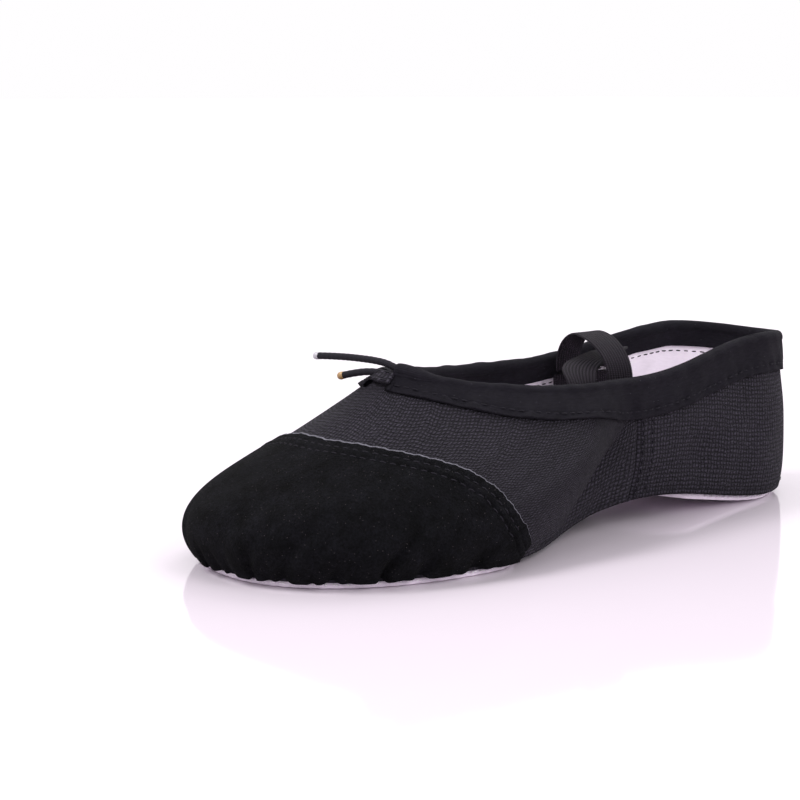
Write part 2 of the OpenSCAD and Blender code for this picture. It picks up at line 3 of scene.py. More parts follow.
import bpy
import numpy as np
from bpy.props import FloatProperty, FloatVectorProperty, PointerProperty
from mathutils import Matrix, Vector


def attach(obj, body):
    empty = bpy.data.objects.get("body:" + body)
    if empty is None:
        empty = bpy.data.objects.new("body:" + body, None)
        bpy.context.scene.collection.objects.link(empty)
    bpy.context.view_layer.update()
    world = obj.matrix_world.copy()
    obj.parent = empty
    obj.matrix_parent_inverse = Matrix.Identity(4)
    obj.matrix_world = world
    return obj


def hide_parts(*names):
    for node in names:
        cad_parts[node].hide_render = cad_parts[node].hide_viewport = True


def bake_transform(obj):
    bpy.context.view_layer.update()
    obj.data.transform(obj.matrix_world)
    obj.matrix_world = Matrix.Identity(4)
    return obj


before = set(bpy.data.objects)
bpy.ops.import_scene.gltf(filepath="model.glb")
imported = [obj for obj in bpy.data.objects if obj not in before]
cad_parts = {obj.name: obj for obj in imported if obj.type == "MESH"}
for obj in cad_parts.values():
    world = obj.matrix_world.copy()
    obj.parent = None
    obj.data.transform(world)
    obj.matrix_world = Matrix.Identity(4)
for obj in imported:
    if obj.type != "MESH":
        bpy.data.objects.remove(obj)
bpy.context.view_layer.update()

bl_info = {
    "name": "Ballet Slipper",
    "version": (1, 0, 0),
    "blender": (4, 5, 0),
    "location": "3D View > Sidebar > Slipper",
    "description": "Builds a canvas split-sole ballet slipper and a plain studio around it",
    "category": "Add Mesh",
}

MM = 0.001

# Places around the slipper: 0 is the toe, 1 the back of the heel, minus the inner side
U_BALL, U_SEAM, U_HEEL, U_CAP = 0.34, 0.6, 0.84, (-0.32, 0.38)
SEAM_HALF = 0.0002
NEAR = 0.004
# Length and slope of the surface where it leaves the sole line: toe, ball, seam, heel
RISE_LEN = (27.5, 17.5, 12.5, 19.0)
RISE_DEG = (50.0, 59.0, 75.0, 79.0)
# Length and slope of the surface where it comes to the topline
FALL_LEN = (47.0, 23.5, 15.0, 19.0)
FALL_DEG = (39.0, 53.0, 70.0, 91.0)
TOE_ROUND, HEEL_SQUARE, THROAT_ROUND = 2.2, 2.0, 1.85
TOE_IN, HEEL_IN = 5.7, 2.0
ARCH_FROM, ARCH_TOP, ARCH_TO = 92.0, 150.0, 215.0
# The toe cap's edge: its height at the toe, then where it runs out and how square it is, inner and outer side
CAP_V, CAP_END, CAP_BOW = 0.745, (0.34, 0.41), (1.8, 2.4)
FLARE, FLARE_LENGTH, ENDS_APART = 1.6, 16.0, 2.75
STRAP_CLEAR, TAB_BELOW = 2.2, 2.3
# Where the straps are sewn, from the middle of the slipper: outer side, inner side
REAR_STRAP_Y = (24.0, 43.0)
FRONT_STRAP_Y = (6.5, 61.0)
# Routes of the drawstring's free ends, from the casing's mouth
LONG_ROUTE = ((-4, -0.3, 1.3), (-8, -0.7, 2.2), (-13, -1.1, 2.5), (-18, -1.5, 2.5),
              (-23, -2, 2.4), (-28, -2.6, 2.2), (-33, -3.3, 1.9), (-37, -4, 1.6))
SHORT_ROUTE = ((-3, -1, 1), (-7, -2.4, 1.6), (-11, -4, 1.5), (-15, -5.4, 0.8), (-19, -6.6, -0.2))
ROOTS = (9.0, 6.0, 3.0, 0.0)
# Length of the tip on each free end
TIP_LENGTH = 2.4


def size_prop(name, default, text):
    """A length in millimetres."""
    return FloatProperty(name=name, default=default, min=0.0, description=text)


def colour_prop(name, default, text):
    return FloatVectorProperty(name=name, default=default, size=3, subtype="COLOR", min=0.0, max=1.0,
                               description=text)


class SlipperSizes(bpy.types.PropertyGroup):
    length: size_prop("Length", 236.0, "Toe to the back of the heel")
    ball_width: size_prop("Ball Width", 88.0, "Sole line across the ball of the foot")
    waist_width: size_prop("Waist Width", 52.0, "Sole line at the waist")
    heel_width: size_prop("Heel Width", 54.0, "Sole line at the heel")
    toe_swing: size_prop("Toe Swing", 4.0, "How far the toe swings towards the inner side")
    ball_at: size_prop("Ball At", 68.0, "Toe to the widest part of the sole line")
    waist_at: size_prop("Waist At", 130.0, "Toe to the narrowest part of the sole line")
    throat_at: size_prop("Throat At", 67.0, "Toe to the throat")
    mouth_at: size_prop("Mouth At", 124.0, "Toe to the widest part of the foot opening")
    seam_at: size_prop("Seam At", 143.0, "Toe to the side seams")
    heel_round: size_prop("Heel Round", 34.0, "Length of the round part of the heel")
    throat_z: size_prop("Throat Height", 55.0, "Height of the topline at the throat")
    side_z: size_prop("Side Height", 49.0, "Height of the topline at the sides")
    heel_z: size_prop("Heel Height", 57.5, "Height of the topline beside the heel")
    heel_dip: size_prop("Heel Dip", 2.5, "Dip of the topline at the very back of the heel")
    mouth_width: size_prop("Mouth Width", 54.0, "Foot opening at its widest part")
    heel_mouth_width: size_prop("Heel Mouth Width", 45.0, "Foot opening where the heel starts to round")
    arch_rise: size_prop("Arch Rise", 6.8, "Rise of the arch above the floor")
    canvas: size_prop("Canvas", 0.8, "Thickness of the canvas")
    lining: size_prop("Lining", 0.4, "Thickness of the cotton lining")
    cap: size_prop("Toe Cap", 1.0, "Thickness of the suede toe cap")
    binding: size_prop("Binding", 0.8, "Thickness of the binding cloth")
    binding_depth: size_prop("Binding Depth", 13.5, "Depth of the binding on the outside")
    binding_inner: size_prop("Inner Binding", 9.0, "Depth of the binding on the inside")
    layer_gap: size_prop("Layer Gap", 0.3, "Air between two layers")
    cord: size_prop("Cord", 2.2, "Diameter of the drawstring")
    cord_gap: size_prop("Cord Clearance", 0.25, "Clearance of the drawstring in its casing")
    throat_gap: size_prop("Throat Gap", 7.0, "Gap between the two ends of the casing")
    strap_width: size_prop("Strap Width", 11.0, "Width of the elastic")
    strap: size_prop("Strap", 0.9, "Thickness of the elastic")
    rear_rise: size_prop("Rear Rise", 14.0, "Rise of the rear strap above its pivot")
    front_rise: size_prop("Front Rise", 7.0, "Rise of the front strap above its pivot")
    strap_tab: size_prop("Strap Tab", 12.0, "Length of each sewn end")
    sole: size_prop("Sole", 2.0, "Thickness of the suede sole patches")
    fore_patch: size_prop("Forefoot Patch", 96.0, "Length of the forefoot patch")
    heel_patch: size_prop("Heel Patch", 72.0, "Length of the heel patch")
    heel_pad: size_prop("Heel Pad", 56.0, "Length of the heel's foam pad")
    pad: size_prop("Pad", 3.0, "Thickness of the foam pads")
    stitch_pitch: size_prop("Stitch Pitch", 3.0, "Distance from one stitch to the next")
    stitch: size_prop("Stitch", 2.2, "Length of one stitch")
    thread: size_prop("Thread", 0.45, "Thickness of the sewing thread")


class SlipperColours(bpy.types.PropertyGroup):
    canvas: colour_prop("Canvas", (0.0205, 0.0175, 0.0255), "Cotton canvas")
    suede: colour_prop("Suede", (0.0036, 0.0035, 0.0048), "Toe cap")
    binding: colour_prop("Binding", (0.0105, 0.0092, 0.0135), "Binding tape and thread")
    elastic: colour_prop("Elastic", (0.013, 0.0105, 0.0145), "Straps")
    lining: colour_prop("Lining", (0.97, 0.90, 0.98), "Cotton lining")
    sole: colour_prop("Sole", (0.96, 0.86, 0.98), "Sole suede")
    raw_edge: colour_prop("Raw Edge", (0.12, 0.115, 0.14), "Cut edge of the toe cap")
    # The floor's lilac grey is painted shade around the slipper; the floor's own glow lifts it towards white further
    # away.
    floor: colour_prop("Floor", (0.68, 0.61, 0.68), "Floor and backdrop")


def ease(a, b, t):
    """A half cosine from a at t 0 to b at t 1, level outside."""
    return a + (b - a) * (1 - np.cos(np.pi * np.clip(t, 0, 1))) / 2


def around(m, k):
    """Value at place m, eased between the toe, the ball, the seam and the heel."""
    front = ease(k[0], k[1], m / U_BALL)
    middle = ease(k[1], k[2], (m - U_BALL) / (U_SEAM - U_BALL))
    rear = ease(k[2], k[3], (m - U_SEAM) / (1 - U_SEAM))
    return np.where(m <= U_BALL, front, np.where(m <= U_SEAM, middle, rear))


def unit(p):
    return p / np.maximum(1e-9, np.linalg.norm(p, axis=-1, keepdims=True))


def along(ribs, v):
    """Cubic Bezier points of each rib at its own row of v."""
    w = 1 - v
    parts = (w ** 3, 3 * w * w * v, 3 * w * v * v, v ** 3)
    return sum(p[..., None] * ribs[:, None, i] for i, p in enumerate(parts))


def heading(ribs, v):
    """Derivative of the same curves."""
    w = 1 - v
    steps = ribs[:, 1:] - ribs[:, :-1]
    parts = (3 * w * w, 6 * w * v, 3 * v * v)
    return sum(p[..., None] * steps[:, None, i] for i, p in enumerate(parts))


class Shape:
    """The slipper's curved surface, in millimetres, and its seams and routes."""

    def __init__(self, z):
        self.z = z
        self.canvas_in = -z.canvas
        self.lining_out = self.canvas_in - 0.15
        self.lining_in = self.lining_out - z.lining
        self.cap_out = 0.15 + z.cap
        self.binding_out = z.layer_gap + z.binding
        self.binding_back = self.lining_in - z.layer_gap
        self.binding_in = self.binding_back - z.binding
        self.tunnel = z.cord / 2 + z.cord_gap
        self.bead = self.tunnel + z.binding
        self.bead_o = (self.binding_out + self.binding_in) / 2
        self.bead_d = self.bead
        self.canvas_top = self.bead_d + self.tunnel + 0.7
        self.fore_base = z.sole + 0.2
        self.pivot_z = z.side_z - 4
        self.shift = 0.21 * z.toe_swing
        self.mouth_u = self.casing_place(0)

    def outline(self, a, front, s1, w1, s2, w2, s3, w3, back, pf, pb):
        """Two superellipse ends joined by eased sides: half width and distance from the toe at a."""
        beyond = (a < 0) | (a > 1)
        b = np.where(a < 0, -a, np.where(a > 1, 2 - a, a))
        t = np.radians(90 * np.clip(b / U_BALL, 0, 1))
        toe_w = w1 * np.sin(t) ** (2 / pf)
        toe_s = s1 - (s1 - front) * np.maximum(0, np.cos(t)) ** (2 / pf)
        seam = self.z.seam_at
        side_s = np.where(b <= U_SEAM, s1 + (seam - s1) * (b - U_BALL) / (U_SEAM - U_BALL),
                          seam + (s3 - seam) * (b - U_SEAM) / (U_HEEL - U_SEAM))
        side_w = np.where(side_s < s2, ease(w1, w2, (side_s - s1) / (s2 - s1)),
                          ease(w2, w3, (side_s - s2) / (s3 - s2)))
        t = np.radians(90 * np.clip((b - U_HEEL) / (1 - U_HEEL), 0, 1))
        heel_w = w3 * np.maximum(0, np.cos(t)) ** (2 / pb)
        heel_s = s3 + (back - s3) * np.sin(t) ** (2 / pb)
        w = np.where(b <= U_BALL, toe_w, np.where(b <= U_HEEL, side_w, heel_w))
        s = np.where(b <= U_BALL, toe_s, np.where(b <= U_HEEL, side_s, heel_s))
        return np.stack([np.where(beyond, -w, w), s], -1)

    def sole_line(self, a):
        z = self.z
        return self.outline(a, TOE_IN, z.ball_at, z.ball_width / 2, z.waist_at, z.waist_width / 2,
                            z.length - z.heel_round, z.heel_width / 2, z.length - HEEL_IN,
                            TOE_ROUND, HEEL_SQUARE)

    def topline(self, a):
        z = self.z
        return self.outline(a, z.throat_at, z.mouth_at, z.mouth_width / 2, z.seam_at + 10,
                            z.mouth_width / 2 - 0.5, z.length - z.heel_round + 4,
                            z.heel_mouth_width / 2, z.length - 2, THROAT_ROUND, HEEL_SQUARE)

    def arch(self, s):
        """Rise of the bottom above the floor at a distance from the toe."""
        up = ease(0, 1, (s - ARCH_FROM) / (ARCH_TOP - ARCH_FROM))
        return self.z.arch_rise * (up - ease(0, 1, (s - ARCH_TOP) / (ARCH_TO - ARCH_TOP)))

    def place(self, side, ws, height):
        """A point from its side, half width, distance from the toe and height."""
        y = ws[..., 1] - self.z.length / 2
        swing = self.shift - self.z.toe_swing * (np.maximum(0, -y) / (self.z.length / 2)) ** 2
        return np.stack([side * ws[..., 0] + swing, y, np.broadcast_to(height, y.shape)], -1)

    def rib(self, u):
        """The four control points of one cubic line up the upper, for each u."""
        z = self.z
        side = np.where(u < 0, -1.0, 1.0)
        a = np.minimum(2, np.abs(u))
        m = np.where(a > 1, 2 - a, a)

        def normal(line):
            d = line(a + NEAR) - line(a - NEAR)
            return unit(np.stack([d[:, 1], -d[:, 0]], -1))

        s, t = self.sole_line(a), self.topline(a)
        rise, fall = around(m, RISE_LEN), around(m, FALL_LEN)
        rise_a, fall_a = np.radians(around(m, RISE_DEG)), np.radians(around(m, FALL_DEG))
        low = z.sole + 0.4 + self.arch(s[:, 1])
        top = np.where(m <= U_SEAM, around(m, (z.throat_z, z.side_z, z.side_z, z.heel_z)),
                       ease(z.side_z, z.heel_z, (m - U_SEAM) / 0.27)
                       - ease(0, z.heel_dip, (m - U_HEEL) / 0.16))
        out_s = s + (rise * np.cos(rise_a))[:, None] * normal(self.sole_line)
        out_t = t + (fall * np.cos(fall_a))[:, None] * normal(self.topline)
        return np.stack([self.place(side, s, low), self.place(side, out_s, low + rise * np.sin(rise_a)),
                         self.place(side, out_t, top - fall * np.sin(fall_a)),
                         self.place(side, t, top)], 1)

    def strips(self, u):
        u = np.asarray(u, float)
        return self.rib(u), self.rib(u - NEAR), self.rib(u + NEAR)

    def normal(self, strips, v):
        r, before, after = strips
        return unit(np.cross(along(after, v) - along(before, v), heading(r, v)))

    def lift(self, strips, v, off):
        """Points of the upper at v, held off the canvas's outer face."""
        off = np.broadcast_to(off, v.shape)
        return along(strips[0], v) + off[..., None] * self.normal(strips, v)

    def v_below(self, strips, d):
        """v at a distance d down from the topline."""
        v1 = 1 - d / np.linalg.norm(heading(strips[0], np.ones_like(d)), axis=-1)
        return 1 - d / np.linalg.norm(heading(strips[0], (1 + v1) / 2), axis=-1)

    def from_top(self, strips, d, off):
        """A point d below the topline, or above it where d is minus."""
        v = np.where(d >= 0, self.v_below(strips, np.maximum(d, 0)), 1.0)
        above = unit(heading(strips[0], np.ones_like(d)))
        return self.lift(strips, v, off) + np.maximum(-d, 0)[..., None] * above

    def cap_edge(self, u):
        """The toe cap's edge, as a height v at each place."""
        end, bow = (np.where(u < 0, *pair) for pair in (CAP_END, CAP_BOW))
        return CAP_V * (1 - np.minimum(1, np.abs(u) / end) ** bow)

    def binding_depth(self, u):
        """The binding is narrower at the throat."""
        return self.z.binding_depth * ease(0.64, 1.0, np.abs(u) / 0.3)

    def flare(self, strips, u):
        """How much wider the casing is near its outer mouth."""
        here = along(strips[0], np.ones((len(u), 1)))[:, 0]
        mouth = along(self.rib(np.array([self.mouth_u])), np.ones((1, 1)))[0, 0]
        near = 1 - ease(0, 1, np.linalg.norm(here - mouth, axis=-1) / FLARE_LENGTH)
        return np.where(u < 0, 0.0, FLARE * near)

    def casing_middle(self, u):
        s = self.strips(np.where(u <= 1, u, u - 2))
        d = np.full((len(u), 1), self.bead_d)
        return self.from_top(s, d, self.bead_o)[:, 0]

    def casing_place(self, inwards):
        """Place in the casing some way in from its outer mouth."""
        half = (self.z.throat_gap / 2 + 0.5 + inwards) / (self.z.mouth_width / 2)
        return U_BALL * math.degrees(math.asin(half ** (THROAT_ROUND / 2))) / 90

    def casing_point(self, level, inwards):
        s = self.strips([self.casing_place(inwards)])
        d = np.full((1, 1), self.bead_d - FLARE * 0.6 + level * ENDS_APART / 2)
        return self.from_top(s, d, self.bead_o)[0, 0]

    def free_route(self, level, route):
        """Route of a free end: from inside the casing, out of its mouth and on. The long end is at
        level -1, nearer to the opening, and the short one at 1."""
        inside = [self.casing_point(level * (1 - 0.06 * deep), deep) for deep in ROOTS]
        return np.concatenate([inside, inside[-1] + np.array(route, float)])

    def wall_x(self, y):
        """Half the room between the two sides at y."""
        a = np.linspace(0.3, 0.95, 400)
        line = self.topline(a)
        return np.interp(y + self.z.length / 2, line[:, 1], line[:, 0]) + self.binding_in - STRAP_CLEAR

    def gathers(self, u, v):
        """Folds where the upper is gathered round the toe: narrow grooves that fade upwards."""
        total = np.zeros(np.broadcast(u, v).shape)
        for i in range(27):
            middle = -0.34 + 0.0265 * i + 0.006 * math.sin(2.1 * i + 0.7)
            depth = 1.3 + 0.9 * math.sin(3.3 * i + 1)
            tall = 0.2 + 0.1 * math.sin(1.9 * i)
            lean = middle + 0.02 * math.sin(2.7 * i) * v
            wide = 0.006 + 0.0025 * math.sin(4.1 * i) + 0.025 * v
            total -= depth * np.exp(-((u - lean) / wide) ** 2 - (v / tall) ** 2)
        return total

    def seam_tuck(self, u):
        """How far the cloth is drawn in along the two side seams."""
        return 0.7 * np.exp(-((np.abs(u) - U_SEAM) / 0.005) ** 2)

    def relief(self, u, v):
        """Height of the cloth's folds and dents above the plain surface, at signed u."""
        soft = 0.28 * np.sin(31 * u + 4 * v) * np.sin(9 * v + 7 * u)
        soft = soft + 0.16 * np.sin(57 * u - 13 * v + 2 * np.sin(23 * u))
        seam = np.exp(-((np.abs(u) - 0.53) / 0.05) ** 2 - ((v - 0.42 - 1.4 * (np.abs(u) - 0.53)) / 0.16) ** 2)
        crease = np.exp(-((np.abs(u) - 0.47 - 0.12 * v) / 0.016) ** 2 - ((v - 0.35) / 0.3) ** 2)
        slack = np.exp(-((np.abs(u) - 0.72) / 0.03) ** 2 - ((v - 0.35) / 0.2) ** 2)
        top = np.clip((0.97 - v) / 0.2, 0, 1)
        return (self.gathers(u, v) + soft * np.clip(v / 0.2, 0, 1) - 2.0 * seam - 1.1 * crease
                - 1.1 * slack) * top


def arc(points, axis):
    """Running length along one axis of a grid of points, in metres, starting at 0."""
    steps = np.linalg.norm(np.diff(points, axis=axis), axis=-1)
    zero = np.zeros_like(np.take(steps, [0], axis=axis))
    return np.concatenate([zero, np.cumsum(steps, axis=axis)], axis=axis) * MM


def grid_uv(points):
    """Texture coordinates in metres of cloth: along the middle row, and up each column."""
    run = arc(points[:, points.shape[1] // 2], 0)
    return np.stack([np.broadcast_to(run[:, None], points.shape[:2]), arc(points, 1)], -1)


def quads(m, n, base=0, closed=False):
    """Corner numbers of every cell of an m by n grid of points."""
    i, j = np.meshgrid(np.arange(m - 1), np.arange(n if closed else n - 1), indexing="ij")
    a, b = base + i * n + j, base + i * n + (j + 1) % n
    return np.stack([a, b, b + n, a + n], -1).reshape(-1, 4)


def make_piece(name, points, faces, corner_uv, materials, marked=0, caps=()):
    """A smooth-shaded object from points in millimetres. The last marked quads take the second
    material; caps are extra rings of corners that close the ends."""
    triangles = np.concatenate([faces[:, [0, 1, 2]], faces[:, [0, 2, 3]]])
    a, b, c = (points[triangles[:, k]] for k in range(3))
    inside_out = np.einsum("ij,ij->", a, np.cross(b, c)) < 0
    if inside_out:
        faces, corner_uv = faces[:, ::-1], corner_uv[:, ::-1]
        caps = [ring[::-1] for ring in caps]
    name = name.replace(" ", "_")
    mesh = bpy.data.meshes.new(name)
    mesh.from_pydata((points * MM).tolist(), [], faces.tolist() + [list(map(int, ring)) for ring in caps])
    uv = mesh.uv_layers.new(name="cloth")
    flat = np.zeros((len(mesh.loops), 2), np.float32)
    flat[:corner_uv.shape[0] * 4] = corner_uv.reshape(-1, 2)
    uv.data.foreach_set("uv", flat.ravel())
    for m in materials:
        mesh.materials.append(m)
    if marked:
        index = np.zeros(len(mesh.polygons), np.int32)
        index[len(faces) - marked:len(faces)] = 1
        mesh.polygons.foreach_set("material_index", index)
    mesh.polygons.foreach_set("use_smooth", np.ones(len(mesh.polygons), bool))
    mesh.update()
    mesh.validate()
    obj = bpy.data.objects.new(name, mesh)
    bpy.context.scene.collection.objects.link(obj)
    return obj


def layer(name, outer, inner, materials, edge=None):
    """A closed layer of cloth between two like grids. With edge, the last row's cut rim and a thin
    strip of the face beside it take the second material."""
    m, n = outer.shape[:2]
    uv = grid_uv(outer)
    points = np.concatenate([outer.reshape(-1, 3), inner.reshape(-1, 3)])
    flat_uv = np.concatenate([uv.reshape(-1, 2)] * 2)
    far = m * n
    i, j = np.arange(m - 1), np.arange(n - 1)
    rims = [
        np.stack([far + quads(m, n)[:, k] for k in (3, 2, 1, 0)], -1),
        np.stack([i * n, (i + 1) * n, far + (i + 1) * n, far + i * n], -1),
        np.stack([j, far + j, far + j + 1, j + 1], -1),
        np.stack([(m - 1) * n + j, (m - 1) * n + j + 1, far + (m - 1) * n + j + 1, far + (m - 1) * n + j], -1),
        np.stack([i * n + n - 1, far + i * n + n - 1, far + (i + 1) * n + n - 1, (i + 1) * n + n - 1], -1),
    ]
    face = quads(m, n).reshape(m - 1, n - 1, 4)
    faces = np.concatenate([face[:, :-1].reshape(-1, 4)] + rims[:-1] + [face[:, -1], rims[-1]])
    obj = make_piece(name, points, faces, flat_uv[faces], materials, marked=2 * len(i) if edge else 0)
    obj.data.set_sharp_from_angle(angle=math.radians(50))
    return obj


def sweep(name, rings, materials, closed_ends=True):
    """A tube through closed rings of points. Its texture runs along it and round it, in metres."""
    m, n = rings.shape[:2]
    run = arc(rings[:, 0], 0)
    loop = np.concatenate([rings, rings[:, :1]], 1)
    girth = arc(loop[m // 2], 0)
    i, j = np.meshgrid(np.arange(m - 1), np.arange(n), indexing="ij")
    corner = np.stack([np.stack([run[i + a], girth[j + b]], -1)
                       for a, b in ((0, 0), (0, 1), (1, 1), (1, 0))], 2).reshape(-1, 4, 2)
    ends = [np.arange(n)[::-1], (m - 1) * n + np.arange(n)] if closed_ends else []
    return make_piece(name, rings.reshape(-1, 3), quads(m, n, closed=True), corner, materials, caps=ends)


def tube_rings(path, radius, sides=16, up=(0.0, 1.0, 0.0)):
    """Circles of points round each point of a path; radius may vary along it."""
    t = unit(np.gradient(path, axis=0))
    b = unit(np.cross(t, up))
    m = np.cross(b, t)
    k = np.linspace(0, 2 * np.pi, sides, endpoint=False)
    r = np.broadcast_to(radius, len(path))[:, None, None]
    return path[:, None] + r * (np.cos(k)[None, :, None] * b[:, None] + np.sin(k)[None, :, None] * m[:, None])


def smooth_path(route, step=0.35):
    """Evenly spaced points on a Catmull-Rom curve through the route."""
    r = np.array(route, float)
    ext = np.concatenate([[r[0]], r, [r[-1]]])
    t = np.linspace(0, 1, 40, endpoint=False)[None, :, None]
    a, b, c, d = (ext[k:len(ext) - 3 + k, None] for k in range(4))
    p = 0.5 * (2 * b + (c - a) * t + (2 * a - 5 * b + 4 * c - d) * t ** 2 + (3 * b - a - 3 * c + d) * t ** 3)
    p = np.concatenate([p.reshape(-1, 3), r[-1:]])
    run = arc(p, 0) / MM
    even = np.linspace(0, run[-1], int(run[-1] / step) + 2)
    return np.stack([np.interp(even, run, p[:, k]) for k in range(3)], -1)


def stitches(name, rows, size, material):
    """A row of thread beads on each path of points with outward normals. Each bead is a rounded bar
    whose two ends dip into the cloth."""
    middles, tangents, normals = [], [], []
    for points, outward in rows:
        run = arc(points, 0) / MM
        count = int(run[-1] / size.stitch_pitch)
        at = (np.arange(count) + 0.5) * run[-1] / max(1, count)
        mid = np.stack([np.interp(at, run, points[:, k]) for k in range(3)], -1)
        ahead = np.stack([np.interp(at + 0.3, run, points[:, k]) for k in range(3)], -1)
        back = np.stack([np.interp(at - 0.3, run, points[:, k]) for k in range(3)], -1)
        normal = unit(np.stack([np.interp(at, run, outward[:, k]) for k in range(3)], -1))
        middles.append(mid)
        tangents.append(unit(ahead - back))
        normals.append(normal)
    mid, tan, nor = (np.concatenate(x)[:, None, None] for x in (middles, tangents, normals))
    turn = 0.08 * np.sin(np.arange(len(mid)) * 2.4)[:, None, None, None]
    side = np.cross(tan, nor)
    tan = unit(tan + turn * side)
    side = np.cross(tan, nor)
    s = np.linspace(-1, 1, 9)[None, :, None, None]
    k = np.linspace(0, 2 * np.pi, 8, endpoint=False)[None, None, :, None]
    r = size.thread / 2 * (1 - np.abs(s) ** 4) ** 0.5
    lift = size.thread * (0.25 - 0.5 * s ** 2)
    points = mid + tan * s * size.stitch / 2 + side * r * np.cos(k) + nor * (r * np.sin(k) + lift)
    n = len(mid)
    cell = quads(9, 8, closed=True)
    faces = (cell[None] + (np.arange(n) * 72)[:, None, None]).reshape(-1, 4)
    uv = np.stack(np.broadcast_arrays(s[..., 0] * size.stitch / 2 * MM, k[..., 0] * size.thread / 2 * MM), -1)
    uv = np.broadcast_to(uv, (n, 9, 8, 2)).reshape(-1, 2)
    return make_piece(name, points.reshape(-1, 3), faces, uv[faces], [material])


def row_on(shape, u, v, off):
    """A path on the upper with its outward normals, at one v for each u."""
    s = shape.strips(u)
    v = v[:, None]
    bump = shape.relief(np.asarray(u)[:, None], v)
    return shape.lift(s, v, off + bump)[:, 0], shape.normal(s, v)[:, 0]


class Nodes:
    """Adds shader nodes to one tree."""

    def __init__(self, tree):
        self.tree = tree

    def add(self, kind, inputs=None, **settings):
        node = self.tree.nodes.new(kind)
        for key, value in settings.items():
            setattr(node, key, value)
        for key, value in (inputs or {}).items():
            if isinstance(value, bpy.types.NodeSocket):
                self.tree.links.new(value, node.inputs[key])
            else:
                node.inputs[key].default_value = value
        return node

    def maths(self, operation, a, b=0.0, c=0.0):
        return self.add("ShaderNodeMath", {0: a, 1: b, 2: c}, operation=operation).outputs[0]

    def spread(self, value, low, high, to_low=0.0, to_high=1.0):
        return self.add("ShaderNodeMapRange", {"Value": value, "From Min": low, "From Max": high,
                                               "To Min": to_low, "To Max": to_high}).outputs[0]

    def noise(self, vector, scale, detail=3.0, roughness=0.6):
        return self.add("ShaderNodeTexNoise", {"Vector": vector, "Scale": scale, "Detail": detail,
                                               "Roughness": roughness}).outputs["Fac"]

    def mix(self, factor, a, b):
        node = self.add("ShaderNodeMix", {0: factor}, data_type="RGBA")
        for socket, value in ((node.inputs[6], a), (node.inputs[7], b)):
            if isinstance(value, bpy.types.NodeSocket):
                self.tree.links.new(value, socket)
            else:
                socket.default_value = value
        return node.outputs[2]


def shader_group(name, inputs, outputs):
    """An empty node group with these float or vector sockets."""
    group = bpy.data.node_groups.new(name, "ShaderNodeTree")
    for label, kind, value in inputs:
        socket = group.interface.new_socket(name=label, in_out="INPUT", socket_type=kind)
        if value is not None:
            socket.default_value = value
    for label in outputs:
        group.interface.new_socket(name=label, in_out="OUTPUT", socket_type="NodeSocketFloat")
    n = Nodes(group)
    return n, n.add("NodeGroupInput"), n.add("NodeGroupOutput")


def weave_group():
    """Plain weave: a dome at every crossing, drawn out along whichever thread lies on top. Its Shade is painted shade,
    light on the thread tops and dark in the hollows between them, times the slubs' uneven tone.
    """
    name = "Plain Weave"
    if name in bpy.data.node_groups:
        return bpy.data.node_groups[name]
    n, given, result = shader_group(name, (("Cloth", "NodeSocketVector", None), ("Threads", "NodeSocketFloat", 1200.0),
                                           ("Uneven", "NodeSocketFloat", 0.4)), ("Height", "Shade"))
    cloth, threads = given.outputs["Cloth"], given.outputs["Threads"]
    wander = n.noise(cloth, 260.0, 2.0)
    wander = n.maths("MULTIPLY", n.maths("SUBTRACT", wander, 0.5),
                     n.maths("MULTIPLY", given.outputs["Uneven"], 3.0))
    parts = n.add("ShaderNodeSeparateXYZ", {"Vector": cloth})
    waves = []
    for axis in ("X", "Y"):
        turns = n.maths("MULTIPLY_ADD", parts.outputs[axis], threads, wander)
        waves.append(n.maths("SINE", n.maths("MULTIPLY", turns, math.pi)))
    tops = [n.maths("ABSOLUTE", w) for w in waves]
    flat = [n.maths("POWER", t, 0.4) for t in tops]
    warp, weft = n.maths("MULTIPLY", tops[0], flat[1]), n.maths("MULTIPLY", flat[0], tops[1])
    over = n.maths("GREATER_THAN", n.maths("MULTIPLY", waves[0], waves[1]), 0.0)
    height = n.maths("ADD", n.maths("MULTIPLY", warp, over),
                     n.maths("MULTIPLY", weft, n.maths("SUBTRACT", 1.0, over)))
    slub = n.noise(n.add("ShaderNodeMapping", {"Vector": cloth, "Scale": (0.25, 1.0, 1.0)}).outputs[0], 1500.0, 2.0)
    # Shade: painted shade from the weave's height, darker in the hollows between threads, times the slubs' own tone
    shade = n.maths("MULTIPLY", n.maths("ADD", height, 0.35), n.spread(slub, 0.3, 0.7, 0.45, 1.35))
    n.tree.links.new(height, result.inputs["Height"])
    n.tree.links.new(shade, result.inputs["Shade"])
    return n.tree


def lint_group():
    """Small pale specks of lint, sparse and uneven."""
    name = "Lint"
    if name in bpy.data.node_groups:
        return bpy.data.node_groups[name]
    n, given, result = shader_group(name, (("Place", "NodeSocketVector", None), ("Amount", "NodeSocketFloat", 0.5)),
                                    ("Specks",))
    place = given.outputs["Place"]
    cells = n.add("ShaderNodeTexVoronoi", {"Vector": place, "Scale": 1300.0, "Randomness": 1.0})
    chosen = n.add("ShaderNodeSeparateColor", {"Color": cells.outputs["Color"]}).outputs[0]
    rare = n.maths("GREATER_THAN", chosen,
                   n.maths("SUBTRACT", 1.0, n.maths("MULTIPLY", given.outputs["Amount"], 0.1)))
    spot = n.spread(cells.outputs["Distance"], 0.1, 0.2, 1.0, 0.0)
    n.tree.links.new(n.maths("MULTIPLY", rare, spot), result.inputs["Specks"])
    return n.tree


def start_material(name):
    """An empty Principled material: its nodes and the shader."""
    mat = bpy.data.materials.new(name)
    mat.use_nodes = True
    n = Nodes(mat.node_tree)
    return mat, n, mat.node_tree.nodes["Principled BSDF"]


def bumped(n, shader, height, distance, strength=1.0, after=None):
    values = {"Height": height, "Distance": distance, "Strength": strength}
    if after:
        values["Normal"] = after
    bump = n.add("ShaderNodeBump", values)
    n.tree.links.new(bump.outputs[0], shader.inputs["Normal"])
    return bump.outputs[0]


